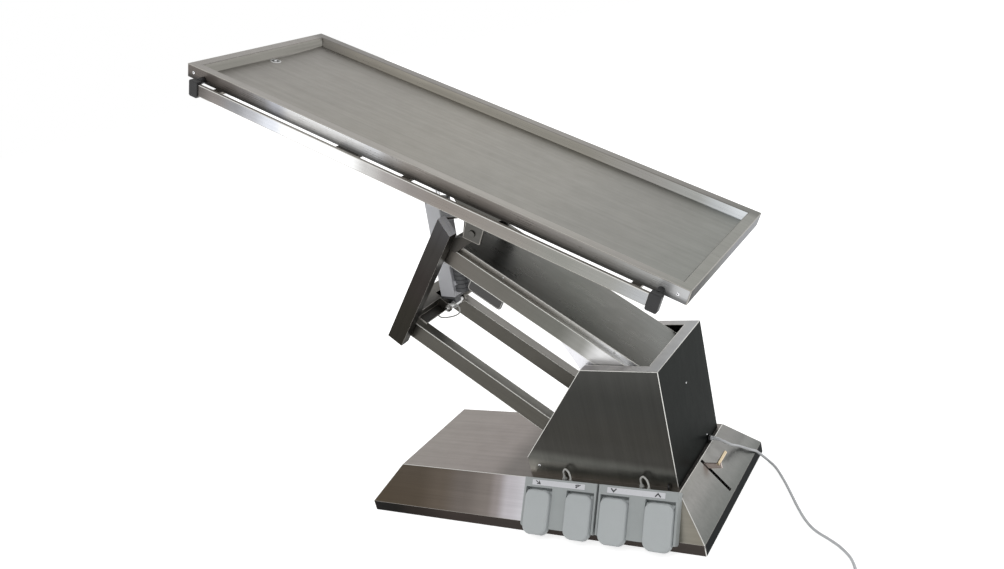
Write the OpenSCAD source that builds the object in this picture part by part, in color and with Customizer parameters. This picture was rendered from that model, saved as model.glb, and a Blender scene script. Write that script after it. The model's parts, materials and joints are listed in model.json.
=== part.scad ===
/* [Tabletop] */
// Length of the tabletop
top_len = 1400; // [1340:10:1420]
// Width of the tabletop
top_wid = 514; // [500:2:520]
// Width of the flat rim round the basin
rim_wid = 35; // [25:1:45]
// Depth of the basin below the rim
basin_deep = 22; // [16:1:22]
// Thickness of the tabletop sheet
top_sheet = 2; // [1.5:0.1:2]
// Tilt of the tabletop as photographed, right end down
tilt_rest = 28.3; // [20:0.1:28.8]
// Radius of the drain hole in the basin
drain_r = 10; // [8:0.5:12]

/* [Rails] */
// Height of a side rail
rail_high = 30; // [26:1:34]
// Thickness of a side rail
rail_thick = 10; // [8:1:12]
// Distance from the skirt to the back of a rail
rail_gap = 24; // [20:1:28]
// Length of a side rail between its end caps
rail_len = 1256; // [1220:4:1260]

/* [Lift linkage] */
// Height of the arm tube section
arm_high = 48; // [44:1:48]
// Width of the arm tube section
arm_thick = 31; // [28:1:31]
// Wall of the square tubes
tube_wall = 3; // [2:0.5:4]
// Radius of the pivot pins
pin_r = 10; // [8:0.5:11]
// Height of the cover tray above the arms
cover_high = 14; // [10:1:14]

/* [Base] */
// Height of the upright skirt of the base
base_skirt = 31; // [28:1:33]
// Thickness of the base sheet
base_sheet = 3; // [2:0.5:3]
// Radius of a foot
foot_r = 20; // [14:1:22]
// Radius of a castor wheel
wheel_r = 20; // [16:1:20]

/* [Hood] */
// Height of the upright band at the hood's left
hood_band = 50; // [40:1:60]
// Width of the rim folded in at the hood's top
hood_rim = 28; // [24:0.5:28]
// Thickness of the hood sheet
hood_sheet = 2; // [1.5:0.1:2.5]

/* [Pedals] */
// Thickness of a pedal housing
pedal_thick = 22; // [20:1:24]
// Width of one treadle
treadle_wid = 74; // [66:1:74]
// Length of one treadle
treadle_len = 109; // [100:1:109]

/* [Hidden] */

// Shared gaps, overruns and the number of flats on small round things
seat_gap = 0.3;
run_gap = 0.05;
cut_over = 1;
fine = 48;

// Sizes of the base and the hood that other places are measured from
base_len = 1002;
hood_half = 148;
hood_margin = 86.5;
half_len = base_len / 2;
half_wid = hood_half + hood_margin;

// Lift linkage: pivots in the upright plane of the arms
lift_rest = 37.5;
head_lean = 40.6;
arm_len = 600;
link_space = 272;
base_high = 120;
lower_pivot_in = 321;
lower_pivot_x = half_len - lower_pivot_in;
lower_pivot_up = 50;
lower_base = [lower_pivot_x, 0, base_high + lower_pivot_up];
upper_base = lower_base + link_space * [sin(head_lean), 0, cos(head_lean)];
arm_run = arm_len * [-cos(lift_rest), 0, sin(lift_rest)];
upper_head = upper_base + arm_run;

// Places of the tubes across the machine, measured from its middle plane
arm_in_hood = 31;
arm_out = hood_half - arm_in_hood;
arm_in = arm_out - arm_thick;
head_gap = 8;
head_in = arm_out + head_gap;
head_thick = 32;
head_out = head_in + head_thick;
head_half = 24;
bush_wall = 5;
bush_r = pin_r + bush_wall;

// Tilt pivot, measured from the upper pivot along the head tube
tilt_pivot = [64, 0, 110];
tilt_pin_r = 9;
tilt_axis = upper_head + head_dir(tilt_pivot);

// Tabletop place: where the tilt pivot lies below the rim's plane
pivot_u = 129;
pivot_w = 173;
table_place = tilt_axis - table_dir([pivot_u, 0, -pivot_w]);

function head_dir(p) = [p[0] * cos(head_lean) + p[2] * sin(head_lean), p[1],
    -p[0] * sin(head_lean) + p[2] * cos(head_lean)];
function table_dir(p) = [p[0] * cos(tilt_rest) + p[2] * sin(tilt_rest), p[1],
    -p[0] * sin(tilt_rest) + p[2] * cos(tilt_rest)];

module on_upper_arm() translate(upper_base) rotate([0, lift_rest, 0]) children();
module on_lower_arm() translate(lower_base) rotate([0, lift_rest, 0]) children();
module on_head() translate(upper_head) rotate([0, head_lean, 0]) children();
module on_table() translate(table_place) rotate([0, tilt_rest, 0]) children();

// A box given by its lowest and highest corners
module span(low, high) translate(low) cube(high - low);
// A round bar along Y between two places
module y_bar(r, y0, y1) translate([0, y1, 0]) rotate([90, 0, 0]) cylinder(r = r, h = y1 - y0, $fn = fine);
// A flat outline in the upright plane, given thickness along Y
module y_plate(y0, y1) translate([0, y1, 0]) rotate([90, 0, 0]) linear_extrude(y1 - y0) children();
// The same shape at the front and mirrored at the rear
module both_sides() {
    children();
    mirror([0, 1, 0]) children();
}
// A rectangle with round corners, given by its lowest and highest corners
module rounded(low, high, r) {
    translate([low[0] + r, low[1]]) square([high[0] - low[0] - 2 * r, high[1] - low[1]]);
    translate([low[0], low[1] + r]) square([high[0] - low[0], high[1] - low[1] - 2 * r]);
    for (x = [low[0] + r, high[0] - r]) for (y = [low[1] + r, high[1] - r])
        translate([x, y]) circle(r = r, $fn = fine);
}

// Base cover: an upright skirt with four slopes and a flat top, hollow and open below
slope_side = 69;
slope_right = 71;
slope_left = 86;
base_lift = 2;
slope_tall = base_high - base_skirt;
top_edge_x = half_len - slope_right;
top_edge_y = half_wid - slope_side;

module base_block(inset, z0, z1) difference() {
    span([-half_len + inset, -half_wid + inset, z0], [half_len - inset, half_wid - inset, z1]);
    for (side = [0, 1]) mirror([0, side, 0]) translate([0, half_wid - inset, base_skirt])
        rotate([atan(slope_side / slope_tall), 0, 0])
            span([-base_len, 0, 0], [base_len, base_len, base_len]);
    translate([half_len - inset, 0, base_skirt]) rotate([0, -atan(slope_right / slope_tall), 0])
        span([0, -base_len, 0], [base_len, base_len, base_len]);
    translate([-half_len + inset, 0, base_skirt]) rotate([0, atan(slope_left / slope_tall), 0])
        span([-base_len, -base_len, 0], [0, base_len, base_len]);
}

// The right slope's own frame, x running down the slope from its top edge
right_slope_angle = atan2(slope_tall, slope_right);
module on_right_slope() translate([top_edge_x, 0, base_high])
    rotate([0, right_slope_angle, 0]) children();

slot_y = -15;
slot_half = 3.5;
slot_start = 3;
slot_end = 104;
slot_deep = 12;
module base_cover() color("silver") difference() {
    base_block(0, base_lift, base_high);
    base_block(base_sheet, base_lift - cut_over, base_high - base_sheet);
    on_right_slope() span([slot_start, slot_y - slot_half, -slot_deep],
        [slot_end, slot_y + slot_half, slot_deep]);
    for (x = [left_pedal_x, right_pedal_x])
        translate([x + gland_shift, gland_y, base_high - base_sheet - cut_over])
            cylinder(r = lead_hole_r, h = base_sheet + 2 * cut_over, $fn = fine);
}

// Base frame under the cover: two side rails, three cross rails, posts and castor lugs
frame_wid = 25;
frame_in = 26;
frame_side_in = 38.5;
frame_end = half_len - frame_in;
frame_y0 = half_wid - frame_side_in;
frame_y1 = frame_y0 + frame_wid;
foot_high = 12;
frame_top = foot_high + frame_wid;
post_ins = [441, 176];
post_xs = [for (d = post_ins) half_len - d];
left_cross_in = 51;
cross_xs = concat([left_cross_in - half_len], post_xs);
post_side_in = 116.5;
post_y0 = half_wid - post_side_in;
post_y1 = post_y0 + frame_wid;
lug_side_in = 56.5;
lug_stop_in = 48.5;
lever_lug_in = 84.5;
lever_lug_thick = 16;
lug_y0 = half_wid - lug_side_in;
lug_stop = half_wid - lug_stop_in;
lever_lug_y0 = half_wid - lever_lug_in;
lever_lug_y1 = lever_lug_y0 + lever_lug_thick;
lever_pivot_in = 151;
lever_pivot = [half_len - lever_pivot_in, 0, 94];
lever_lug_points = [[-37, -58], [-13, -58], [13, -7], [-13, 7]];
lever_pin_r = 8;
lever_lug_r = 15;
axle_r = 6;
axle_in = 101;
left_axle = [axle_in - half_len, 0, 22];
left_lug_r = 12;
module base_frame() color("dimgray") difference() {
    union() {
        both_sides() span([-frame_end, frame_y0, foot_high], [frame_end, frame_y1, frame_top]);
        for (x = cross_xs) span([x - frame_wid / 2, -frame_y1, foot_high],
            [x + frame_wid / 2, frame_y1, frame_top]);
        for (x = post_xs) both_sides() span([x - frame_wid / 2, post_y0, foot_high],
            [x + frame_wid / 2, post_y1, base_high - base_sheet]);
        both_sides() {
            y_plate(lever_lug_y0, lever_lug_y1) {
                translate([lever_pivot[0], lever_pivot[2]]) polygon(lever_lug_points);
                translate([lever_pivot[0], lever_pivot[2]]) circle(r = lever_lug_r, $fn = fine);
            }
            span([left_axle[0] - left_lug_r, lug_y0, foot_high],
                [left_axle[0] + left_lug_r, frame_y0 + tube_wall, frame_top]);
        }
    }
    both_sides() span([-frame_end - cut_over, frame_y0 + tube_wall, foot_high + tube_wall],
        [frame_end + cut_over, frame_y1 - tube_wall, frame_top - tube_wall]);
    both_sides() {
        translate(lever_pivot) y_bar(lever_pin_r + run_gap, 0, lug_stop);
        translate(left_axle) y_bar(axle_r + run_gap, 0, lug_stop);
    }
}

foot_in = 71;
foot_side_in = 34.5;
foot_x = half_len - foot_in;
foot_y = half_wid - foot_side_in;
module base_feet() color("black") for (x = [-foot_x, foot_x]) both_sides()
    translate([x, -foot_y, 0]) cylinder(r = foot_r, h = foot_high, $fn = fine);

// Mast plates hold the two base pivots, on a flange that stands on the base
mast_in = 22.5;
mast_foot = 6;
mast_y1 = hood_half - mast_in;
mast_y0 = mast_y1 - mast_foot;
mast_flange_in = 8;
mast_flange = hood_half - mast_flange_in;
mast_points = [[-40, 0], [218, 0], [205, 280], [192, 288], [162, 288], [145, 280], [-30, 76], [-40, 60]];
mast_x0 = lower_pivot_x + mast_points[0][0];
mast_x1 = lower_pivot_x + mast_points[1][0];
module mast_plates() color("silver") both_sides() difference() {
    union() {
        y_plate(mast_y0, mast_y1) translate([lower_pivot_x, base_high]) polygon(mast_points);
        span([mast_x0, mast_y0, base_high], [mast_x1, mast_flange, base_high + mast_foot]);
    }
    for (p = [lower_base, upper_base]) translate(p)
        y_bar(pin_r + run_gap, mast_y0 - cut_over, mast_y1 + cut_over);
}
shaft_in = 16;
shaft_end = hood_half - shaft_in;
module base_pivot_shafts() color("silver")
    for (p = [lower_base, upper_base]) translate(p) y_bar(pin_r, -shaft_end, shaft_end);

// Hood: a folded box over the masts, open at its top and along its left slope
hood_left_in = 489.7;
hood_right_in = 79.7;
hood_top_left_in = 276.2;
hood_top_right_in = 75.8;
hood_left = half_len - hood_left_in;
hood_right = half_len - hood_right_in;
hood_top = 428;
hood_top_left = half_len - hood_top_left_in;
hood_top_right = half_len - hood_top_right_in;
band_top = base_high + hood_band;
lead_exit_in = 79;
lead_exit = [half_len - lead_exit_in, 80, 126];
gland_r = 5.5;
hood_screw_r = 4;
hood_screw_shank = 2;
hood_screw_in = 458;
hood_screw_front = [half_len - hood_screw_in, 148];
hood_side_screws = [[-2, 327], [72, 141]];
module hood() color("dimgray") difference() {
    y_plate(-hood_half, hood_half) polygon([[hood_left, base_high], [hood_left, band_top],
        [hood_top_left, hood_top], [hood_top_right, hood_top], [hood_right, base_high]]);
    y_plate(-hood_half + hood_sheet, hood_half - hood_sheet) polygon([
        [hood_left + hood_sheet, base_high - cut_over],
        [hood_left + hood_sheet, band_top],
        [hood_left - cut_over, band_top],
        [hood_left - cut_over, hood_top - hood_sheet],
        [hood_top_right - hood_sheet, hood_top - hood_sheet],
        [hood_right - hood_sheet, base_high],
        [hood_right - hood_sheet, base_high - cut_over]]);
    span([hood_left, -hood_half + hood_rim, hood_top - 2 * hood_sheet],
        [hood_top_right - hood_rim - tube_wall, hood_half - hood_rim, hood_top + cut_over]);
    translate([lead_exit[0] - slot_deep, lead_exit[1], lead_exit[2]]) rotate([0, 90, 0])
        cylinder(r = gland_r + seat_gap, h = 2 * slot_deep, $fn = fine);
}
screw_head = 2;
module hood_screws() color("silver") {
    for (side = [0, 1]) mirror([0, side, 0])
        translate([hood_screw_front[0], -hood_half, hood_screw_front[1]]) rotate([90, 0, 0])
            cylinder(r = hood_screw_r, h = screw_head, $fn = fine);
    for (s = hood_side_screws)
        translate([hood_right + (s[1] - base_high) * (hood_top_right - hood_right) / (hood_top - base_high)
            + run_gap, s[0], s[1]]) rotate([0, 90, 0])
                cylinder(r = hood_screw_shank, h = screw_head, $fn = fine);
}
gland_in = 6;
gland_out = 5;
module lead_gland() color("black") translate([lead_exit[0] - gland_in, lead_exit[1], lead_exit[2]])
    rotate([0, 90, 0]) cylinder(r = gland_r, h = gland_in + gland_out, $fn = fine);

// Lift actuator, between a foot on the base and the gussets under the upper arms
lift_foot_in = 201;
lift_foot_up = 30;
lift_foot = [half_len - lift_foot_in, 0, base_high + lift_foot_up];
gusset_pin = [-124, 0, -59];
lift_head = upper_base + [gusset_pin[0] * cos(lift_rest) + gusset_pin[2] * sin(lift_rest), 0,
    -gusset_pin[0] * sin(lift_rest) + gusset_pin[2] * cos(lift_rest)];
lift_vec = lift_head - lift_foot;
lift_turn = atan2(lift_vec[0], lift_vec[2]);
clevis_y0 = 33;
clevis_y1 = 39;
clevis_r = 14;
eye_r = 14;
eye_half = 14;
eye_pin_r = 8;
clevis_pin_end = 42;
clevis_foot = 30;
lift_tube_r = 24;
lift_tube_start = 18;
lift_tube_end = 188;
lift_bore_start = 40;
lift_rod_r = 11;
slack = 3.5;
lift_rod_len = 158;
motor_r = 21;
motor_out = 38;
motor_start = 34;
motor_end = 130;
module clevis_plate(drop) difference() {
    union() {
        y_bar(clevis_r, clevis_y0, clevis_y1);
        span([-clevis_r, clevis_y0, -drop], [clevis_r, clevis_y1, 0]);
    }
    y_bar(eye_pin_r + run_gap, clevis_y0 - cut_over, clevis_y1 + cut_over);
}
module lift_foot_bracket() color("dimgray") {
    translate(lift_foot) both_sides() clevis_plate(lift_foot[2] - base_high);
    span([lift_foot[0] - clevis_foot, -clevis_y1, base_high],
        [lift_foot[0] + clevis_foot, clevis_y1, base_high + mast_foot]);
}
module lift_foot_pin() color("silver") translate(lift_foot)
    y_bar(eye_pin_r, -clevis_pin_end, clevis_pin_end);
module on_lift_actuator() translate(lift_foot) rotate([0, lift_turn, 0]) children();
module lift_actuator_tube() color("lightgray") on_lift_actuator() difference() {
    union() {
        y_bar(eye_r, -eye_half, eye_half);
        span([-eye_r, -eye_half, 0], [eye_r, eye_half, lift_tube_start + tube_wall]);
        translate([0, 0, lift_tube_start])
            cylinder(r = lift_tube_r, h = lift_tube_end - lift_tube_start, $fn = fine);
        translate([motor_out, 0, motor_start])
            cylinder(r = motor_r, h = motor_end - motor_start, $fn = fine);
    }
    y_bar(eye_pin_r + run_gap, -eye_half - cut_over, eye_half + cut_over);
    translate([0, 0, lift_bore_start])
        cylinder(r = lift_rod_r + slack, h = lift_tube_end, $fn = fine);
}
module lift_actuator_rod() color("silver") translate(lift_head) rotate([0, lift_turn, 0]) difference() {
    union() {
        y_bar(eye_r, -eye_half, eye_half);
        translate([0, 0, -lift_rod_len]) cylinder(r = lift_rod_r, h = lift_rod_len, $fn = fine);
    }
    y_bar(gusset_pin_r + run_gap, -eye_half - cut_over, eye_half + cut_over);
}

// Pedals lie on the front slope; in this frame y runs up the slope and z stands off it
front_slope_angle = atan2(slope_tall, slope_side);
module on_front_slope(x) translate([x, -top_edge_y, base_high])
    rotate([front_slope_angle, 0, 0]) children();
pedal_in = 167;
pedal_step = 214;
right_pedal_x = half_len - pedal_in;
left_pedal_x = right_pedal_x - pedal_step;
pedal_half = 104;
pedal_high = 124;
header = 24;
divider_half = 21;
side_rim = 6;
pocket_floor = 5;
pedal_round = 8;
treadle_start = 22;
treadle_top = 29;
treadle_back = 12;
treadle_face = 30;
treadle_round = 12;
treadle_lug = 6;
hinge_down = 36;
hinge_off = 12;
hinge_r = 3;
hinge_reach0 = 14;
hinge_reach1 = 101;
module pedal_housing(x) color("darkgray") on_front_slope(x) difference() {
    linear_extrude(pedal_thick) union() {
        rounded([-pedal_half, -pedal_high], [pedal_half, 0], pedal_round);
        translate([-pedal_half, -pedal_round]) square([2 * pedal_half, pedal_round]);
    }
    for (side = [0, 1]) mirror([side, 0, 0]) {
        translate([0, 0, pocket_floor]) linear_extrude(pedal_thick)
            translate([divider_half, -pedal_high - cut_over])
                square([pedal_half - side_rim - divider_half, pedal_high + cut_over - header]);
        translate([hinge_reach0, -hinge_down, hinge_off]) rotate([0, 90, 0])
            cylinder(r = hinge_r + run_gap, h = hinge_reach1 - hinge_reach0, $fn = fine);
    }
}
module left_pedal_housing() pedal_housing(left_pedal_x);
module right_pedal_housing() pedal_housing(right_pedal_x);
module pedal_pins() color("silver") for (x = [left_pedal_x, right_pedal_x]) on_front_slope(x)
    for (side = [0, 1]) mirror([side, 0, 0]) translate([hinge_reach0, -hinge_down, hinge_off])
        rotate([0, 90, 0]) cylinder(r = hinge_r, h = hinge_reach1 - hinge_reach0, $fn = fine);
label_half = 76;
label_shift = -5;
label_y0 = 5;
label_y1 = 18.5;
label_thick = 0.6;
module pedal_labels() color("white") for (x = [left_pedal_x, right_pedal_x]) on_front_slope(x)
    span([label_shift - label_half, -label_y1, pedal_thick], [label_shift + label_half, -label_y0,
        pedal_thick + label_thick]);
// One treadle, side -1 for the left one of a pair and 1 for the right one
module treadle(x, side) color("lightgray") on_front_slope(x)
    translate([side < 0 ? -treadle_start - treadle_wid : treadle_start, 0, 0]) difference() {
        union() {
            translate([0, 0, treadle_back]) linear_extrude(treadle_face - treadle_back)
                rounded([0, -treadle_top - treadle_len], [treadle_wid, -treadle_top], treadle_round);
            translate([0, -hinge_down, hinge_off]) rotate([0, 90, 0])
                cylinder(r = treadle_lug, h = treadle_wid, $fn = fine);
        }
        translate([-cut_over, -hinge_down, hinge_off]) rotate([0, 90, 0])
            cylinder(r = hinge_r + run_gap, h = treadle_wid + 2 * cut_over, $fn = fine);
    }
module tilt_treadle_left() treadle(left_pedal_x, -1);
module tilt_treadle_right() treadle(left_pedal_x, 1);
module lift_treadle_left() treadle(right_pedal_x, -1);
module lift_treadle_right() treadle(right_pedal_x, 1);

gland_shift = -3.5;
gland_back = 8.5;
gland_y = gland_back - top_edge_y;
lead_hole_r = 5;
gland_out_r = 6;
gland_high = 5;
gland_deep = 8;
module pedal_glands() color("gray") for (x = [left_pedal_x, right_pedal_x])
    translate([x + gland_shift, gland_y, base_high]) {
        cylinder(r = gland_out_r, h = gland_high, $fn = fine);
        translate([0, 0, -gland_deep]) cylinder(r = lead_hole_r - seat_gap, h = gland_deep, $fn = fine);
    }

// A round cord swept along a list of points, its ring carried along without twist
function unit(v) = v / norm(v);
function blend_at(p, i, t) = let(a = p[max(i - 1, 0)], b = p[i], c = p[i + 1],
    d = p[min(i + 2, len(p) - 1)])
    b + t * ((c - a) / 2 + t * ((2 * a - 5 * b + 4 * c - d) / 2 + t * (3 * b - a - 3 * c + d) / 2));
function smooth(p, steps) = [for (i = [0 : len(p) - 2]) for (k = [0 : steps - 1]) blend_at(p, i, k / steps),
    p[len(p) - 1]];
function heading(p, i) = unit(p[min(i + 1, len(p) - 1)] - p[max(i - 1, 0)]);
function square_to(v, t) = unit(v - (v * t) * t);
function carried(p, first) = [for (i = 0, n = square_to(first, heading(p, 0)); i < len(p);
    i = i + 1, n = i < len(p) ? square_to(n, heading(p, i)) : n) n];
module cord(p, r, sides, first) {
    side_dirs = carried(p, first);
    rings = [for (i = [0 : len(p) - 1]) let(t = heading(p, i), n = side_dirs[i], b = cross(t, n))
        for (k = [0 : sides - 1]) p[i] + r * (cos(360 * k / sides) * n + sin(360 * k / sides) * b)];
    last = (len(p) - 1) * sides;
    polyhedron(points = rings, faces = concat(
        [[for (k = [0 : sides - 1]) k]],
        [[for (k = [sides - 1 : -1 : 0]) last + k]],
        [for (i = [0 : len(p) - 2]) for (k = [0 : sides - 1])
            [i * sides + k, (i + 1) * sides + k, (i + 1) * sides + (k + 1) % sides,
                i * sides + (k + 1) % sides]]));
}

// Short leads from the glands into the pedal housings, and the one from the hood
thin_r = 2.5;
thin_sides = 8;
loop_points = [[0, 0, 0], [0, 0, 8], [2, -1, 19], [11, -4, 27], [21, -8, 21.5], [25.5, -12, 9.5],
    [26, -16.2, 1.7]];
hook_in = 102;
hook_points = [[0, 0, 0], [0, -2, 0], [0, -4, 0], [1, -7, -2.5], [1, -8, -7.2]];
hook_start = [half_len - hook_in, -hood_half - seat_gap, 128];
module pedal_leads() color("gray") {
    for (x = [left_pedal_x, right_pedal_x]) translate([x + gland_shift, gland_y, base_high + gland_high])
        cord(smooth(loop_points, 3), thin_r, thin_sides, [0, 1, 0]);
    translate(hook_start) cord(smooth(hook_points, 3), thin_r, thin_sides, [1, 0, 0]);
}

// Castors: a fixed pair at the left, and a pair at the right that the lever lowers
wheel_side_in = 94.5;
wheel_wid = 20;
axle_side_in = 49.5;
wheel_y0 = half_wid - wheel_side_in;
wheel_y1 = wheel_y0 + wheel_wid;
axle_end = half_wid - axle_side_in;
module wheelset(place, end) translate(place) {
    y_bar(axle_r, -end, end);
    both_sides() y_bar(wheel_r, wheel_y0, wheel_y1);
}
module left_wheelset() color("dimgray") wheelset(left_axle, axle_end);
right_axle = [half_len - axle_in, 0, 33];
axle_arm_in = 108.5;
axle_arm_thick = 6;
axle_arm_y0 = half_wid - axle_arm_in;
axle_arm_y1 = axle_arm_y0 + axle_arm_thick;
axle_arm_r = 12;
right_axle_side_in = 69.5;
right_axle_end = half_wid - right_axle_side_in;
lever_up = 4.5;
lever_half = 2.5;
lever_bar_half = 10;
lever_len = 134;
lever_rod_at = 127;
lever_rod_up = 9;
lever_rod_r = 4.5;
lever_rod_y0 = -19;
lever_rod_y1 = 40;
lever_shaft_in = 66.5;
lever_shaft_end = half_wid - lever_shaft_in;
module castor_lever() color("goldenrod") {
    translate(lever_pivot) {
        y_bar(lever_pin_r, -lever_shaft_end, lever_shaft_end);
        rotate([0, -lever_up, 0]) {
            span([0, slot_y - lever_half, -lever_bar_half],
                [lever_len, slot_y + lever_half, lever_bar_half]);
            translate([lever_rod_at, 0, lever_rod_up]) y_bar(lever_rod_r, lever_rod_y0, lever_rod_y1);
        }
    }
    both_sides() difference() {
        y_plate(axle_arm_y0, axle_arm_y1) {
            translate([lever_pivot[0], lever_pivot[2]]) circle(r = axle_arm_r, $fn = fine);
            translate([right_axle[0], right_axle[2]]) circle(r = axle_arm_r, $fn = fine);
            polygon([[lever_pivot[0] - axle_arm_r * lean_z, lever_pivot[2] - axle_arm_r * lean_x],
                [lever_pivot[0] + axle_arm_r * lean_z, lever_pivot[2] + axle_arm_r * lean_x],
                [right_axle[0] + axle_arm_r * lean_z, right_axle[2] + axle_arm_r * lean_x],
                [right_axle[0] - axle_arm_r * lean_z, right_axle[2] - axle_arm_r * lean_x]]);
        }
        translate(right_axle) y_bar(axle_r + run_gap, 0, right_axle_end);
    }
}
lean_run = unit(right_axle - lever_pivot);
lean_x = lean_run[0];
lean_z = -lean_run[2];
module right_wheelset() color("dimgray") wheelset(right_axle, right_axle_end);

// Arms: four square tubes with a bush at each end
arm_over = 24;
arm_half = arm_high / 2;
module arm_tube() difference() {
    span([-arm_len - arm_over, -arm_out, -arm_half], [arm_over, -arm_in, arm_half]);
    span([-arm_len - arm_over - cut_over, -arm_out + tube_wall, -arm_half + tube_wall],
        [arm_over + cut_over, -arm_in - tube_wall, arm_half - tube_wall]);
    for (x = [-arm_len, 0]) translate([x, 0, 0])
        y_bar(bush_r + run_gap, -arm_out - cut_over, -arm_in + cut_over);
}
module arm_bushes() both_sides() for (x = [-arm_len, 0]) translate([x, 0, 0]) difference() {
    y_bar(bush_r, -arm_out, -arm_in);
    y_bar(pin_r + run_gap, -arm_out - cut_over, -arm_in + cut_over);
}
module lower_arm_front() color("gray") on_lower_arm() arm_tube();
module lower_arm_rear() color("gray") on_lower_arm() mirror([0, 1, 0]) arm_tube();
module lower_arm_bushes() color("darkgoldenrod") on_lower_arm() arm_bushes();
module upper_arm_front() color("gray") on_upper_arm() arm_tube();
module upper_arm_rear() color("gray") on_upper_arm() mirror([0, 1, 0]) arm_tube();
module upper_arm_bushes() color("darkgoldenrod") on_upper_arm() arm_bushes();

// Cover tray over the upper arms, its two head corners clipped
cover_in = 10.4;
cover_side = arm_out - cover_in;
cover_sheet = 2;
cover_x0 = -590;
cover_x1 = 20;
clip_x = 16;
clip_y = 23;
cover_top = arm_half + cover_high;
module cover_outline(inset) polygon([
    [cover_x0, -cover_side + clip_y], [cover_x0 + clip_x, -cover_side + inset],
    [cover_x1, -cover_side + inset], [cover_x1, cover_side - inset],
    [cover_x0 + clip_x, cover_side - inset], [cover_x0, cover_side - clip_y]]);
module arm_cover() color("gray") on_upper_arm() {
    translate([0, 0, cover_top - cover_sheet]) linear_extrude(cover_sheet) cover_outline(0);
    both_sides() span([cover_x0 + clip_x, -cover_side, arm_half],
        [cover_x1, -cover_side + cover_sheet, cover_top - cover_sheet]);
}
cover_screw_r = 3;
cover_screw_xs = [-420, -90];
cover_screw_up = 7;
module cover_screws() color("silver") on_upper_arm() both_sides() for (x = cover_screw_xs)
    translate([x, -cover_side, arm_half + cover_screw_up]) rotate([90, 0, 0])
        cylinder(r = cover_screw_r, h = screw_head, $fn = fine);

// Gussets below the upper arms, with the pin of the lift actuator between them
gusset_in = 8;
gusset_thick = 6;
gusset_y0 = arm_out - gusset_in;
gusset_y1 = gusset_y0 + gusset_thick;
gusset_r = 18;
gusset_pin_r = 10;
gusset_points = [[-220, -24], [-142, -62], [-124, -77], [-106, -59], [-100, -24]];
module lift_gussets() color("white") on_upper_arm() both_sides() difference() {
    union() {
        y_plate(gusset_y0, gusset_y1) polygon(gusset_points);
        translate(gusset_pin) y_bar(gusset_r, gusset_y0, gusset_y1);
    }
    translate(gusset_pin) y_bar(gusset_pin_r + run_gap, gusset_y0 - cut_over, gusset_y1 + cut_over);
}
module lift_gusset_pin() color("silver") on_upper_arm() translate(gusset_pin)
    y_bar(gusset_pin_r, -arm_out, arm_out);

plate_x0 = -497;
plate_x1 = -392;
plate_low = -57;
plate_round = 10;
plate_thick = 3;
plate_y0 = arm_out - gusset_in;
plate_y1 = plate_y0 + plate_thick;
module name_plate() color("dimgray") on_upper_arm() y_plate(-plate_y1, -plate_y0) {
    rounded([plate_x0, plate_low], [plate_x1, -arm_half], plate_round);
    translate([plate_x0, -arm_half - plate_round])
        square([plate_x1 - plate_x0, plate_round]);
}

// Head: two closed tubes outside the arms, a cross tube with a shelf, and cheeks up to the tilt pivot
head_low = -308;
head_tip = 102;
head_side_top = 80;
module head_tube() difference() {
    y_plate(-head_out, -head_in) polygon([[-head_half, head_low], [head_half, head_low],
        [head_half, head_side_top], [-head_half, head_tip]]);
    y_plate(-head_out + tube_wall, -head_in - tube_wall) polygon([
        [-head_half + tube_wall, head_low + tube_wall], [head_half - tube_wall, head_low + tube_wall],
        [head_half - tube_wall, head_side_top - tube_wall],
        [-head_half + tube_wall, head_tip - 2 * tube_wall]]);
    for (z = [-link_space, 0]) translate([0, 0, z])
        y_bar(pin_r + run_gap, -head_in - 2 * tube_wall, -head_in + cut_over);
}
module head_tube_front() color("dimgray") on_head() head_tube();
module head_tube_rear() color("dimgray") on_head() mirror([0, 1, 0]) head_tube();
collar_r = 16;
retainer_r = 14;
retainer_thick = 3;
module head_pivot_pins() color("silver") on_head() both_sides() for (z = [-link_space, 0])
    translate([0, 0, z]) {
        y_bar(pin_r, -head_out + tube_wall, -arm_in + seat_gap + retainer_thick);
        y_bar(collar_r, -head_in, -arm_out - seat_gap);
        y_bar(retainer_r, -arm_in + seat_gap, -arm_in + seat_gap + retainer_thick);
    }
cross_low = -220;
cross_top = -190;
shelf_out = 52;
shelf_thick = 5;
notch_x = 4;
notch_y = 32;
module head_cross_tube() color("gray") on_head() {
    difference() {
        span([-head_half, -head_in, cross_low], [head_half, head_in, cross_top]);
        span([-head_half + tube_wall, -head_in - cut_over, cross_low + tube_wall],
            [head_half - tube_wall, head_in + cut_over, cross_top - tube_wall]);
        span([notch_x, -notch_y, cross_low + shelf_thick],
            [head_half + cut_over, notch_y, cross_top + cut_over]);
    }
    span([head_half, -head_in, cross_low], [shelf_out, head_in, cross_low + shelf_thick]);
}
tilt_foot = [56, 0, -202];
tilt_clevis_r = 12;
module tilt_foot_bracket() color("dimgray") on_head() both_sides() difference() {
    union() {
        span([head_half, clevis_y0, tilt_foot[2] - tilt_clevis_r], [tilt_foot[0], clevis_y1,
            tilt_foot[2] + tilt_clevis_r]);
        translate(tilt_foot) y_bar(tilt_clevis_r, clevis_y0, clevis_y1);
    }
    translate(tilt_foot) y_bar(eye_pin_r + run_gap, clevis_y0 - cut_over, clevis_y1 + cut_over);
}
module tilt_foot_pin() color("silver") on_head() translate(tilt_foot)
    y_bar(eye_pin_r, -clevis_pin_end, clevis_pin_end);
cheek_thick = 6;
cheek_r = 18;
cheek_points = [[-4, 41], [50, 86], [46, 110], [64, 110], [82, 110], [42, 27], [16, 22]];
stop_wid = 12;
stop_low = [44, head_in - stop_wid, 81.2];
stop_high = [139, head_in, 86.2];
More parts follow.
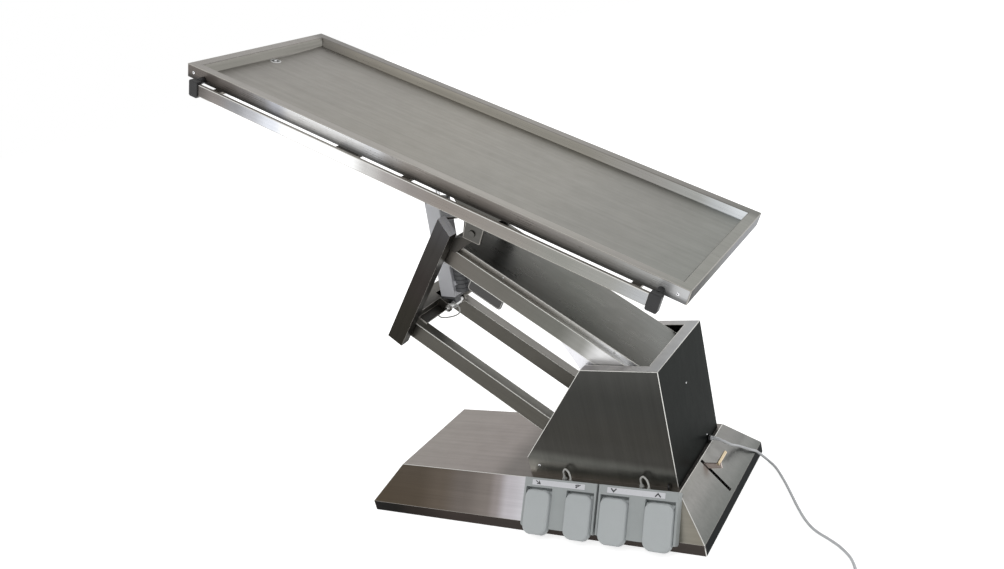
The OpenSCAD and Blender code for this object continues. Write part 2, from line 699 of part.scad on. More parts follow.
module head_cheeks() color("silver") both_sides() {
    on_head() difference() {
        y_plate(head_in - cheek_thick, head_in) {
            polygon(cheek_points);
            translate([tilt_pivot[0], tilt_pivot[2]]) circle(r = cheek_r, $fn = fine);
        }
        translate(tilt_pivot)
            y_bar(tilt_pin_r + run_gap, head_in - cheek_thick - cut_over, head_in + cut_over);
    }
    translate(upper_head) span(stop_low, stop_high);
}
tilt_shaft_over = 12;
tilt_shaft_end = head_in + tilt_shaft_over;
module tilt_shaft() color("silver") translate(tilt_axis) y_bar(tilt_pin_r, -tilt_shaft_end, tilt_shaft_end);
thin_lead_r = 2;
head_lead_points = [[56.7, -39.2, -192], [56.7, -43.4, -191.7], [56.9, -47.2, -189.6], [57.8, -49.6, -185.9],
    [59.6, -50.2, -181.4], [62.6, -49.8, -176.6], [67, -49.2, -171.8], [73.4, -48.6, -167.8],
    [81.4, -48.2, -166.6], [89, -48, -169.4], [94, -48, -176], [95, -48, -184.6], [91.4, -48, -194.4],
    [84, -48, -205.6], [74.8, -48, -216.6], [65.6, -48, -226.2], [57.4, -48, -233], [49.4, -48, -236.2],
    [42, -48, -234], [38.2, -48, -227.6], [37.8, -48, -219.9]];
module actuator_lead() color("gray") on_head()
    cord(smooth(head_lead_points, 2), thin_lead_r, thin_sides, [0, 0, 1]);

// Tilt actuator, from the head's shelf up to the tabletop frame
tilt_head = [-112, 0, -77];
tilt_low_point = upper_head + head_dir(tilt_foot);
tilt_high_point = table_place + table_dir(tilt_head);
tilt_vec = tilt_high_point - tilt_low_point;
tilt_turn = atan2(tilt_vec[0], tilt_vec[2]);
box_half = 23;
box_deep = 29;
box_start = 22;
box_end = 300;
tilt_bore_start = 40;
tilt_rod_r = 11;
tilt_slack = 2.5;
tilt_rod_len = 280;
tilt_motor_r = 22;
tilt_motor_out = 36;
tilt_motor_start = 40;
tilt_motor_end = 150;
module tilt_actuator_tube() color("lightgray") translate(tilt_low_point)
    rotate([0, tilt_turn, 0]) difference() {
    union() {
        y_bar(tilt_clevis_r, -eye_half, eye_half);
        span([-tilt_clevis_r, -eye_half, 0], [tilt_clevis_r, eye_half, box_start]);
        span([-box_half, -box_deep, box_start], [box_half, box_deep, box_end]);
        translate([tilt_motor_out, 0, tilt_motor_start])
            cylinder(r = tilt_motor_r, h = tilt_motor_end - tilt_motor_start, $fn = fine);
    }
    y_bar(eye_pin_r + run_gap, -eye_half - cut_over, eye_half + cut_over);
    translate([0, 0, tilt_bore_start]) cylinder(r = tilt_rod_r + tilt_slack, h = box_end, $fn = fine);
}
module tilt_actuator_rod() color("silver") translate(tilt_high_point)
    rotate([0, tilt_turn, 0]) difference() {
    union() {
        y_bar(eye_r, -eye_half, eye_half);
        translate([0, 0, -tilt_rod_len]) cylinder(r = tilt_rod_r, h = tilt_rod_len, $fn = fine);
    }
    y_bar(eye_pin_r + run_gap, -eye_half - cut_over, eye_half + cut_over);
}

// Tabletop: one pressed sheet with a flat rim, a basin, a skirt and a lip turned in below
skirt_high = 34;
lip_wid = 15;
top_half_len = top_len / 2;
top_half_wid = top_wid / 2;
drain_at = [-645.5, 4.5];
module tabletop() color("darkgray") on_table() difference() {
    span([-top_half_len, -top_half_wid, -skirt_high], [top_half_len, top_half_wid, 0]);
    difference() {
        span([-top_half_len + top_sheet, -top_half_wid + top_sheet, -skirt_high + top_sheet],
            [top_half_len - top_sheet, top_half_wid - top_sheet, -top_sheet]);
        span([-top_half_len + rim_wid - top_sheet, -top_half_wid + rim_wid - top_sheet,
            -basin_deep - top_sheet],
            [top_half_len - rim_wid + top_sheet, top_half_wid - rim_wid + top_sheet, 0]);
    }
    span([-top_half_len + rim_wid, -top_half_wid + rim_wid, -basin_deep],
        [top_half_len - rim_wid, top_half_wid - rim_wid, cut_over]);
    span([-top_half_len + lip_wid, -top_half_wid + lip_wid, -skirt_high - cut_over],
        [top_half_len - lip_wid, top_half_wid - lip_wid, -skirt_high + top_sheet + cut_over]);
    translate([drain_at[0], drain_at[1], -basin_deep - top_sheet - cut_over])
        cylinder(r = drain_r, h = top_sheet + 2 * cut_over, $fn = fine);
}
drain_flange_r = 17;
drain_pipe_r = 13;
drain_flange = 3;
drain_low = 60;
drain_bore_r = 9;
module drain_fitting() color("silver") on_table()
    translate([drain_at[0], drain_at[1], -drain_low]) difference() {
    union() {
        cylinder(r = drain_pipe_r, h = drain_low - basin_deep - top_sheet, $fn = fine);
        translate([0, 0, drain_low - basin_deep - top_sheet - drain_flange])
            cylinder(r = drain_flange_r, h = drain_flange, $fn = fine);
    }
    translate([0, 0, -cut_over]) cylinder(r = drain_bore_r, h = drain_low, $fn = fine);
}
table_screw_r = 4;
table_screw_us = [-678.7, 675.8];
table_screw_w = 18;
module table_screws() color("white") on_table() both_sides() for (u = table_screw_us)
    translate([u, -top_half_wid, -table_screw_w]) rotate([90, 0, 0])
        cylinder(r = table_screw_r, h = screw_head, $fn = fine);

// Side rails on brackets below the skirt, with a cap on each end
rail_y0 = top_half_wid + rail_gap;
rail_y1 = rail_y0 + rail_thick;
rail_top = 26;
rail_low = rail_top + rail_high;
rail_half = rail_len / 2;
module rail() span([-rail_half, -rail_y1, -rail_low], [rail_half, -rail_y0, -rail_top]);
module front_rail() color("gray") on_table() rail();
module rear_rail() color("gray") on_table() mirror([0, 1, 0]) rail();
bracket_us = [-590, 0, 590];
bracket_half = 11;
bracket_thick = 8;
bracket_in = 215;
bracket_back = 6;
module rail_brackets() color("gray") on_table() both_sides() for (u = bracket_us) {
    span([u - bracket_half, -rail_y0, -skirt_high - bracket_thick],
        [u + bracket_half, -bracket_in, -skirt_high]);
    span([u - bracket_half, -rail_y0, -rail_low + tube_wall], [u + bracket_half, -rail_y0 + bracket_back,
        -rail_top - tube_wall]);
}
cap_len = 28;
cap_thick = 18;
cap_over = 6.6;
cap_round = 5;
module rail_end_caps() color("black") on_table() both_sides() for (side = [0, 1]) mirror([side, 0, 0])
    y_plate(-(rail_y0 + rail_y1 + cap_thick) / 2, -(rail_y0 + rail_y1 - cap_thick) / 2)
        rounded([rail_half, -rail_low - cap_over], [rail_half + cap_len, -rail_top + cap_over], cap_round);

// Frame under the tabletop: two side tubes, an end tube, a deep channel and a beam with the
// clevis of the tilt actuator
frame_u0 = -330;
frame_u1 = 260;
side_lap = 5;
side_wid = 30;
side_y0 = head_in - side_lap;
side_y1 = side_y0 + side_wid;
frame_drop = 24;
side_low = 64;
channel_u0 = -295;
channel_u1 = -225;
channel_low = 108;
beam_u0 = -134;
beam_u1 = -90;
beam_low = 52;
end_wid = 30;
module table_frame() color("gray") on_table() {
    both_sides() difference() {
        span([frame_u0, -side_y1, -side_low], [frame_u1, -side_y0, -frame_drop]);
        span([frame_u0 - cut_over, -side_y1 + tube_wall, -side_low + tube_wall],
            [frame_u1 + cut_over, -side_y0 - tube_wall, -frame_drop - tube_wall]);
    }
    span([frame_u1 - end_wid, -side_y0, -side_low], [frame_u1, side_y0, -frame_drop]);
    difference() {
        span([channel_u0, -side_y0, -channel_low], [channel_u1, side_y0, -frame_drop]);
        span([channel_u0 + tube_wall, -side_y0 - cut_over, -channel_low - cut_over],
            [channel_u1 - tube_wall, side_y0 + cut_over, -frame_drop - tube_wall]);
    }
    span([beam_u0, -side_y0, -beam_low], [beam_u1, side_y0, -frame_drop]);
    translate(tilt_head) both_sides() rotate([180, 0, 0]) mirror([0, 1, 0])
        clevis_plate(-tilt_head[2] - beam_low);
}
module tilt_head_pin() color("silver") on_table() translate(tilt_head)
    y_bar(eye_pin_r, -clevis_pin_end, clevis_pin_end);
ear_gap = 2;
ear_thick = 6;
ear_y0 = head_in + ear_gap;
ear_y1 = ear_y0 + ear_thick;
ear_points = [[106, -193], [155, -193], [158, -140], [200, -103], [200, -64],
    [60, -64], [60, -103], [100, -140]];
module tilt_ears() color("silver") on_table() both_sides() difference() {
    y_plate(ear_y0, ear_y1) polygon(ear_points);
    translate([pivot_u, 0, -pivot_w]) y_bar(tilt_pin_r + run_gap, ear_y0 - cut_over, ear_y1 + cut_over);
}

// Mains lead: laid from the hood over the right slope and along the floor, then a coil and a plug;
// its points are measured from the base's right end
lead_r = 3.5;
lead_sides = 8;
lead_points = [[-73.7, 80, 126], [-70.7, 80, 126], [-57.6, 80, 125.6], [-41.3, 81.8, 118.2],
    [-29, 92.3, 104], [-25.9, 117.2, 86.5], [-27.1, 134.6, 75.2], [-19.5, 150.9, 61.7],
    [-7.2, 163.3, 48.8], [1.2, 179.8, 35.8], [9.8, 187.2, 22.9], [21.8, 187.2, 11.5], [34.6, 181, 4.9],
    [47, 169.1, 3.8], [65.4, 144, 4.1], [96.8, 92.4, 3.8], [125, 41, 3.8], [151, -6.9, 3.8],
    [175, -47, 3.8], [198.9, -78.9, 3.8], [221, -99, 3.8], [244.2, -115.1, 3.8], [274, -139, 3.8],
    [302, -172, 3.8], [320, -212.1, 3.8], [328, -249.8, 3.8], [329.7, -271, 3.8], [329.7, -278, 3.8]];
module power_lead() color("lightgray") translate([half_len, 0, 0])
    cord(smooth(lead_points, 3), lead_r, lead_sides, [0, 1, 0]);
coil_mid = [384, -285, 3.8];
coil_turn = 7.8;
coil_min = 29;
coil_layer = 7.8;
coil_start = -3.25;
coil_stop = 3;
coil_rings = 24;
coil_sides = 6;
coil_tail = 7;
climb_half = 0.25;
function climb(s) = s < -climb_half ? 0 : s > climb_half ? 1 : (s + climb_half) / (2 * climb_half);
function coil_at(s) = let(r = coil_min + coil_turn * abs(s), a = 180 + 360 * (s - coil_start))
    coil_mid + [r * cos(a), r * sin(a), coil_layer * climb(s)];
coil_path = concat([coil_at(coil_start) + [0, coil_tail, 0]],
    [for (s = [coil_start : 1 / coil_rings : coil_stop]) coil_at(s)],
    [coil_at(coil_stop) + [coil_tail, 0, 0]]);
module power_lead_coil() color("lightgray") translate([half_len, 0, 0])
    cord(coil_path, lead_r, coil_sides, [0, 0, 1]);
plug_len = 42;
plug_half = 17;
plug_low = 3;
plug_high = 20;
plug_round = 6;
plug_pin_r = 2.4;
plug_pin_len = 19;
plug_pin_off = 9.5;
plug_sleeve_r = 4;
plug_sleeve = 40;
plug_from = coil_path[len(coil_path) - 1];
module power_plug() color("lightgray") translate([half_len, 0, 0]) translate(plug_from) {
    rotate([0, 90, 0]) cylinder(r = plug_sleeve_r, h = plug_sleeve + cut_over, $fn = fine);
    translate([plug_sleeve, 0, -plug_from[2] + plug_low]) linear_extrude(plug_high - plug_low)
        rounded([0, -plug_half], [plug_len, plug_half], plug_round);
    for (y = [-plug_pin_off, plug_pin_off]) translate([plug_sleeve + plug_len, y, 0]) rotate([0, 90, 0])
        cylinder(r = plug_pin_r, h = plug_pin_len, $fn = fine);
}

base_cover();
base_frame();
base_feet();
mast_plates();
base_pivot_shafts();
hood();
hood_screws();
lift_foot_bracket();
lift_foot_pin();
left_pedal_housing();
right_pedal_housing();
pedal_labels();
pedal_pins();
pedal_glands();
pedal_leads();
lead_gland();
left_wheelset();
tilt_treadle_left();
tilt_treadle_right();
lift_treadle_left();
lift_treadle_right();
castor_lever();
right_wheelset();
lower_arm_front();
lower_arm_rear();
lower_arm_bushes();
upper_arm_front();
upper_arm_rear();
upper_arm_bushes();
arm_cover();
cover_screws();
lift_gussets();
lift_gusset_pin();
name_plate();
head_tube_front();
head_tube_rear();
head_cross_tube();
head_pivot_pins();
head_cheeks();
tilt_shaft();
tilt_foot_bracket();
tilt_foot_pin();
actuator_lead();
lift_actuator_tube();
lift_actuator_rod();
tilt_actuator_tube();
tilt_actuator_rod();
tabletop();
front_rail();
rear_rail();
rail_brackets();
rail_end_caps();
table_screws();
table_frame();
tilt_ears();
tilt_head_pin();
drain_fitting();
power_lead();
power_lead_coil();
power_plug();
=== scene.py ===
import json
import math
import bmesh
import bpy
from mathutils import Matrix, Vector

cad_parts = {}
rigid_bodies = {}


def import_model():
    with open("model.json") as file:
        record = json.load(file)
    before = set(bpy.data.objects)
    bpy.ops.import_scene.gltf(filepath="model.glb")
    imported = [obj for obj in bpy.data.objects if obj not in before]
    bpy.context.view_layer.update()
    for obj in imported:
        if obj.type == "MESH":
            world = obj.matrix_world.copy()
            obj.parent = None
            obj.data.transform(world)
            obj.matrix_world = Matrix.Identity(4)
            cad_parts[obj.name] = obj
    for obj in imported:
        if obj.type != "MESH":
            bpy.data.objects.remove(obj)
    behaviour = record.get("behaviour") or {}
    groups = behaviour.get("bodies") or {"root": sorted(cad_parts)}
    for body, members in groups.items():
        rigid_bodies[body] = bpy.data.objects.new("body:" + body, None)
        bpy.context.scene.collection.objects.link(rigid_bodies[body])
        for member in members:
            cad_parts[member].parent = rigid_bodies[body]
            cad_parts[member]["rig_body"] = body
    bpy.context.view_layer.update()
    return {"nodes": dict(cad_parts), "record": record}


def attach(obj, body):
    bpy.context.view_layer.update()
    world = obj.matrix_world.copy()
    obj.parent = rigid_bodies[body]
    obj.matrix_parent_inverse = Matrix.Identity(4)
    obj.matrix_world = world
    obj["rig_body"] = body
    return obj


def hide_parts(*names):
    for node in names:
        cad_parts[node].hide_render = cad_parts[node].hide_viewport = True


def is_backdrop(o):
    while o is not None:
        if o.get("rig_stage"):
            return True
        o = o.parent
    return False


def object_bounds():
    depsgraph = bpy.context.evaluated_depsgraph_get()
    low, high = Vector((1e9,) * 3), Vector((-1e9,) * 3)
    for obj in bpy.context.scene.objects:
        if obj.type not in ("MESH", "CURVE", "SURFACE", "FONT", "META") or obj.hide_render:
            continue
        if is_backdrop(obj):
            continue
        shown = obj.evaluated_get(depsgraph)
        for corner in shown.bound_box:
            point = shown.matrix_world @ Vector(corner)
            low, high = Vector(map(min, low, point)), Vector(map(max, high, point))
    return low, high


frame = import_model()
scene = bpy.context.scene
scene.view_settings.view_transform = "Standard"
NODES = frame["nodes"]
SLOT = {s["node"]: s["material_slot"] for s in frame["record"]["subparts"]}
MM = 0.001

# Places, in millimetres, as in the CAD source


def turned_y(angle, at=(0, 0, 0)):
    """A place turned about y, in degrees."""
    return Matrix.Translation(at) @ Matrix.Rotation(math.radians(angle), 4, "Y")


LIFT, LEAN, TILT = 37.5, 40.6, 28.3  # degrees: arms, head tubes, tabletop
ARM_LEN = 600
LOWER_BASE = Vector((180, 0, 170))
UPPER_BASE = turned_y(LEAN, LOWER_BASE) @ Vector((0, 0, 272))
UPPER_ARM = turned_y(LIFT, UPPER_BASE)
LOWER_ARM = turned_y(LIFT, LOWER_BASE)
UPPER_HEAD = UPPER_ARM @ Vector((-ARM_LEN, 0, 0))
HEAD = turned_y(LEAN, UPPER_HEAD)
TILT_AXIS = HEAD @ Vector((64, 0, 110))
TABLE = turned_y(TILT, TILT_AXIS) @ Matrix.Translation((-129, 0, 173))
X, Y, Z = (1, 0, 0), (0, 1, 0), (0, 0, 1)
BASE_HIGH, BASE_END = 120, 501  # the base's height and half length
DECK_END, DECK_SIDE = 430, 165.5  # the base's flat top: right end and half width
BASE_LIP = 31  # height at which the base's slopes meet its upright skirt
PEDALS = (("left", 120), ("right", 334))
COIL = Vector((885, -285, 0))  # the mains lead's coil
FRONT_ANGLE = math.atan2(89, 69)  # of the base's front slope
TOP_X, TOP_Y, BASIN_FLOOR = 700, 257, -22  # the tabletop's half length and half width, and the basin's depth


def front_slope(x):
    """A place on the upper edge of the base's front slope, its z axis square to the slope."""
    return Matrix.Translation((x, -DECK_SIDE, BASE_HIGH)) @ Matrix.Rotation(FRONT_ANGLE, 4, "X")


def actuator(low, high):
    """A place on the lower pin whose z axis points at the upper one."""
    reach = high - low
    return turned_y(math.degrees(math.atan2(reach.x, reach.z)), low)


LIFT_FOOT = Vector((300, 0, 150))
LIFT_HEAD = UPPER_ARM @ Vector((-124, 0, -59))
LIFT_TUBE = actuator(LIFT_FOOT, LIFT_HEAD)
TILT_LOW = HEAD @ Vector((56, 0, -202))
TILT_HIGH = TABLE @ Vector((-112, 0, -77))
TILT_TUBE = actuator(TILT_LOW, TILT_HIGH)

# Camera, found from the photograph's straight edges
WIDE, HIGH, FOCAL, CENTRE_X, CENTRE_Y = 1004, 569, 882.98, 500.67, 288.71  # in pixels
cam = bpy.data.cameras.new("camera")
cam.sensor_fit = "HORIZONTAL"
cam.sensor_width = 36.0
cam.lens = FOCAL / WIDE * 36.0
cam.shift_x = (WIDE / 2 - CENTRE_X) / WIDE
cam.shift_y = (CENTRE_Y - HIGH / 2) / WIDE
cam.clip_start, cam.clip_end = 0.05, 100
eye = bpy.data.objects.new("camera", cam)
right = Vector((0.83349642, 0.50336602, -0.22782969))
up = Vector((0.02866711, 0.37239007, 0.92763346))
back = Vector((0.55178068, -0.77971039, 0.29595574))
turn = Matrix((right, up, back)).transposed().to_4x4()
eye.matrix_world = Matrix.Translation(Vector((1242.27, -1823.76, 1280.09)) * MM) @ turn
scene.collection.objects.link(eye)
scene.camera = eye

# Materials


def linear(tone):
    out = []
    for v in tone:
        v /= 255
        out.append(v / 12.92 if v <= 0.04045 else ((v + 0.055) / 1.055) ** 2.4)
    return (*out, 1.0)


class Nodes:
    """A short way to write the node tree of a material or of the world."""

    def __init__(self, owner):
        owner.use_nodes = True
        self.owner, self.tree = owner, owner.node_tree
        self.tree.nodes.clear()

    def new(self, kind, **values):
        n = self.tree.nodes.new("ShaderNode" + kind)
        for k, v in values.items():
            setattr(n, k, v)
        return n

    def put(self, socket, value):
        if isinstance(value, bpy.types.NodeSocket):
            self.tree.links.new(value, socket)
        else:
            socket.default_value = value

    def feed(self, node, **values):
        for k, v in values.items():
            self.put(node.inputs[k.replace("_", " ")], v)
        return node

    def where(self):
        return self.new("TexCoord").outputs["Object"]

    def noise(self, scale, stretch=(1, 1, 1), turn=0.0, detail=3.0, rough=0.55):
        where = self.where()
        if turn:
            rot = self.new("VectorRotate", rotation_type="Y_AXIS")
            self.feed(rot, Vector=where, Angle=-math.radians(turn))
            where = rot.outputs[0]
        m = self.feed(self.new("Mapping"), Vector=where, Scale=stretch)
        n = self.feed(self.new("TexNoise"), Vector=m.outputs[0], Scale=scale, Detail=detail, Roughness=rough)
        return n.outputs["Fac"]

    def span(self, value, low, high, to_low, to_high):
        m = self.new("MapRange")
        self.feed(m, Value=value, From_Min=low, From_Max=high, To_Min=to_low, To_Max=to_high)
        return m.outputs[0]

    def spread(self, noise, low, high):
        """The range that nearly all of a noise lies in, brought to low and high."""
        return self.span(noise, 0.3, 0.7, low, high)

    def maths(self, how, a, b):
        m = self.new("Math", operation=how)
        self.put(m.inputs[0], a)
        self.put(m.inputs[1], b)
        return m.outputs[0]

    def add(self, *values):
        total = values[0]
        for value in values[1:]:
            total = self.maths("ADD", total, value)
        return total

    def along(self, axis, stops):
        """A tone that changes slowly along a direction of the part, painting the reflections, highlights and
        shade that change along it. A stop is millimetres, then red, green and blue, or one value for all
        three."""
        dot = self.new("VectorMath", operation="DOT_PRODUCT")
        self.put(dot.inputs[0], self.where())
        dot.inputs[1].default_value = Vector(axis) * 1000
        first, last = stops[0][0], stops[-1][0]
        ramp = self.new("ValToRGB")
        self.put(ramp.inputs[0], self.span(dot.outputs["Value"], first, last, 0.0, 1.0))
        ramp.color_ramp.interpolation = "EASE"
        marks = ramp.color_ramp.elements
        while len(marks) < len(stops):
            marks.new(0.5)
        for mark, (at, *_) in zip(marks, stops):
            mark.position = (at - first) / (last - first)
        for mark, (_, *tone) in zip(marks, stops):
            mark.color = linear(tone if len(tone) == 3 else tone * 3)
        return ramp.outputs["Color"]

    def tinted(self, colour, by):
        """Colour times a grey factor."""
        m = self.new("VectorMath", operation="SCALE")
        self.put(m.inputs[0], colour if isinstance(colour, bpy.types.NodeSocket) else colour[:3])
        self.put(m.inputs["Scale"], by)
        return m.outputs["Vector"]

    def plainly_seen(self):
        """1 for camera, mirror and glass rays, and 0 for the rays that only light the part."""
        ray = self.new("LightPath").outputs
        seen = self.maths("MAXIMUM", ray["Is Camera Ray"], ray["Is Glossy Ray"])
        return self.maths("MAXIMUM", seen, ray["Is Transmission Ray"])

    def output(self, kind, surface):
        self.put(self.new(kind).inputs["Surface"], surface)
        return self.owner

    def surface(self, colour, rough, metal, bumps, deep, dull=False):
        p = self.feed(self.new("BsdfPrincipled"), Base_Color=colour, Roughness=rough, Metallic=metal)
        if dull:  # a dark sheet stays dark at a glancing angle
            p.inputs["Specular Tint"].default_value = (0.5, 0.5, 0.5, 1)
        b = self.feed(self.new("Bump"), Strength=0.5, Distance=deep, Height=bumps)
        self.put(p.inputs["Normal"], b.outputs[0])
        return self.output("OutputMaterial", p.outputs[0])


def steel(name, tone, rough=0.36, turn=0.0, along="X", haze=0.025, grain=0.055, metal=1.0, cross=None,
          dull=False):
    """Brushed stainless steel: fine lines along one axis of a turned place, a faint haze and stray scratches.
    tone is one tone, or an axis with its stops, which paint the reflections, highlights and shade that change
    along it; cross is an axis with stops that paint shade on it."""
    n = Nodes(bpy.data.materials.new(name))
    fine = n.noise(1.0, [7 if axis == along else 620 for axis in "XYZ"], turn, 2.0)
    broad = n.noise(1.0, [1.5 if axis == along else 90 for axis in "XYZ"], turn, 2.0)
    cloud = n.noise(6.5, detail=4.0)
    smear = n.noise(21.0, (1, 1.6, 1), detail=5.0, rough=0.65)
    colour = n.along(*tone) if len(tone) == 2 else linear(tone)
    scratch = n.noise(1.0, (30, 1400, 500), turn + 6, 1.0)
    shade = n.add(n.spread(fine, 1 - grain, 1 + grain), n.spread(broad, -0.05, 0.05),
                  n.spread(cloud, -haze, haze), n.span(scratch, 0.76, 0.82, 0.0, 0.03))
    if cross:
        shade = n.maths("MULTIPLY", shade, n.along(*cross))
    r = n.add(n.span(smear, 0.35, 0.7, rough - 0.03, rough + 0.05), n.spread(fine, -0.03, 0.03))
    return n.surface(n.tinted(colour, shade), r, metal, fine, 0.00012, dull)


def bright(name, tone, rough=0.22):
    """Turned or polished steel with faint rings and handling marks."""
    n = Nodes(bpy.data.materials.new(name))
    fine = n.noise(520.0, (1, 1, 1), detail=2.0)
    cloud = n.noise(38.0, detail=4.0)
    shade = n.add(n.spread(cloud, 0.93, 1.05), n.spread(fine, -0.03, 0.03))
    r = n.spread(cloud, rough, rough + 0.12)
    return n.surface(n.tinted(linear(tone), shade), r, 1.0, fine, 0.00005)


def plastic(name, tone, rough=0.5, grain=1500.0, worn=0.05, deep=0.00006):
    """Moulded plastic: a spark-eroded grain, slight mottling and rubbed patches."""
    n = Nodes(bpy.data.materials.new(name))
    fine = n.noise(grain, detail=2.0)
    cloud = n.noise(16.0, detail=4.0)
    rub = n.noise(48.0, (1, 2.2, 1), detail=5.0, rough=0.7)
    shade = n.add(n.spread(cloud, 1 - worn, 1 + worn * 0.6), n.spread(fine, -0.02, 0.02),
                  n.span(rub, 0.62, 0.75, 0.0, worn * 1.5))
    r = n.span(rub, 0.35, 0.7, rough + 0.06, rough - 0.08)
    return n.surface(n.tinted(linear(tone), shade), r, 0.0, fine, deep)


def run(place, way, stops):
    """An axis with its stops, from stops measured at a place on the part along one of the place's ways."""
    axis = place.to_3x3() @ Vector(way)
    shift = axis.dot(place.translation)
    return axis, [(at + shift, *tone) for at, *tone in stops]


# Tabletop steel. The stops paint reflections, highlights and shade: the rim is shaded towards the rear, the
# skirt and the rail carry painted white highlights, the skirt is shaded along its lower edge, the basin's
# long walls have a painted reflection towards their right end, the skirt's right end is painted shaded
# towards the front, and the underside is a shaded copy of the steel.
RIM = steel("rim_steel", run(TABLE, X, [
    (-700, 146, 142, 137), (-400, 160, 156, 151), (100, 162, 158, 152), (400, 152, 149, 143),
    (560, 147, 144, 139), (700, 138, 138, 132)]), 0.33, TILT, cross=(Y, [
    (-257, 246), (205, 246), (234, 203), (257, 203)]))
BASIN = steel("basin_steel", run(TABLE, X, [
    (-665, 139, 136, 131), (-480, 145, 142, 136), (-100, 146, 143, 136), (200, 140, 138, 132),
    (450, 133, 132, 127), (665, 131, 132, 127)]), 0.4, TILT)
WALL = steel("basin_wall_steel", run(TABLE, X, [
    (-665, 104, 101, 96), (-500, 124, 120, 112), (-300, 137, 133, 124), (200, 140, 137, 129),
    (400, 151, 149, 145), (540, 165, 166, 163), (600, 190, 193, 194), (665, 214, 218, 221)]), 0.3, TILT)
END_WALL = steel("basin_end_steel", (139, 137, 131), 0.33, TILT, "Y")
SKIRT = steel("skirt_steel", run(TABLE, X, [
    (-700, 104, 97, 92), (-640, 104, 97, 92), (-560, 112, 106, 102), (-500, 130, 126, 124),
    (-450, 158, 157, 158), (-400, 206, 208, 216), (-350, 255, 255, 255), (-150, 255, 255, 255),
    (-100, 236, 237, 240), (-50, 178, 175, 172), (0, 158, 152, 146), (100, 131, 125, 119),
    (200, 129, 123, 117), (300, 137, 132, 127), (400, 144, 140, 136), (500, 154, 152, 148),
    (600, 174, 174, 172), (700, 194, 195, 196)]), 0.3, TILT, metal=0.4, cross=run(TABLE, Z, [
    (-34, 140), (-29, 146), (-24, 208), (-19, 248), (-14, 255), (0, 255)]))
SKIRT_END = steel("skirt_end_steel", (Y, [
    (-257, 18, 18, 18), (-200, 60, 60, 59), (-100, 114, 115, 112), (60, 142, 143, 148),
    (257, 150, 152, 155)]), 0.3, TILT, "Y", dull=True)
RAIL = steel("rail_steel", run(TABLE, X, [
    (-630, 100, 96, 93), (-570, 134, 129, 126), (-500, 144, 144, 146), (-450, 176, 177, 181),
    (-385, 214, 217, 224), (-320, 252, 252, 252), (-150, 246, 246, 246), (-90, 184, 183, 181),
    (-30, 150, 146, 144), (40, 132, 127, 124), (120, 128, 122, 117), (300, 130, 126, 121),
    (420, 130, 130, 125), (530, 140, 140, 136), (628, 160, 162, 164)]), 0.28, TILT)
TABLE_BODY = steel("table_steel", (133, 129, 123), 0.38, TILT)
TABLE_UNDER = steel("table_under_steel", (96, 93, 88), 0.42, TILT)
FRAME_STEEL = steel("table_frame_steel", (104, 101, 96), 0.42, TILT, "Y")
# EDGE and SOFT_EDGE light the bevels and the fold lines: painted edge highlights.
EDGE = bright("edge_highlight", (212, 211, 207), 0.25)
SOFT_EDGE = bright("soft_edge", (164, 161, 155), 0.3)
# Arm steel. The stops paint reflections and highlights, lighter towards the arms' pivot ends at the base; the
# arm tops and the cover's sides are painted lighter against the shade that falls on them, the cover's stops
# paint its reflections and shade, and the lower and rear arms and the undersides are shaded copies.
ARM_FRONT = steel("arm_front_steel", run(UPPER_ARM, X, [
    (-624, 99, 95, 90), (-400, 98, 96, 91), (-240, 101, 101, 96), (-170, 132, 132, 128),
    (-110, 212, 212, 212), (-40, 226, 226, 228), (24, 226, 226, 228)]), 0.34, LIFT)
ARM_LOW_FRONT = steel("arm_low_front_steel", (79, 77, 72), 0.34, LIFT)
ARM_TOP = steel("arm_top_steel", run(UPPER_ARM, X, [
    (-624, 160, 156, 150), (-300, 172, 170, 165), (-200, 196, 196, 193), (24, 224, 224, 224)]),
    0.34, LIFT, metal=0.7)
ARM_LOW_TOP = steel("arm_low_top_steel", (119, 118, 113), 0.34, LIFT)
ARM_REAR_TOP = steel("arm_rear_top_steel", (123, 121, 117), 0.34, LIFT)
ARM_UNDER = steel("arm_under_steel", (70, 67, 62), 0.4, LIFT)
COVER = steel("cover_steel", run(UPPER_ARM, (0.77, 0.64, 0), [
    (-600, 122, 120, 116), (-460, 118, 118, 115), (-361, 108, 108, 105), (-335, 112, 112, 108),
    (-200, 108, 109, 104), (-80, 115, 115, 111), (20, 124, 125, 122), (80, 131, 132, 129)]),
    0.3, LIFT, grain=0.04, haze=0.02)
COVER_SIDE = steel("cover_side_steel", run(UPPER_ARM, X, [
    (-600, 132, 129, 123), (-330, 138, 135, 130), (-200, 164, 163, 158), (-60, 226, 227, 229),
    (24, 230, 230, 230)]), 0.34, LIFT, metal=0.7)
# Head steel. The outer faces' stops paint reflections and shade up the tubes, and the side faces' stops a run
# of painted reflections; the cheeks and the dim bracket steel are shaded copies.
HEAD_OUT = steel("head_outer_steel", run(HEAD, Z, [
    (-308, 38, 36, 31), (-200, 41, 39, 34), (-100, 47, 43, 41), (0, 54, 52, 50), (100, 66, 65, 66)]),
    0.3, LEAN, "Z", grain=0.06)
HEAD_EDGE = steel("head_edge_steel", run(HEAD, Z, [
    (-308, 60, 59, 55), (-286, 84, 83, 78), (-252, 92, 91, 88), (-200, 98, 97, 95), (-110, 64, 62, 59),
    (-30, 84, 82, 80), (-8, 132, 131, 128), (40, 118, 117, 113), (60, 92, 90, 87), (100, 86, 84, 80)]),
    0.34, LEAN, "Z", dull=True)
HEAD_IN = steel("head_inner_steel", (108, 105, 100), 0.36, LEAN, "Z")
BRACKET = bright("bracket_steel", (218, 218, 222), 0.3)
# The head tubes' top ends are painted white: a painted reflection.
CAP = steel("tube_cap_steel", (250, 250, 255), 0.3, LEAN, metal=0.1)
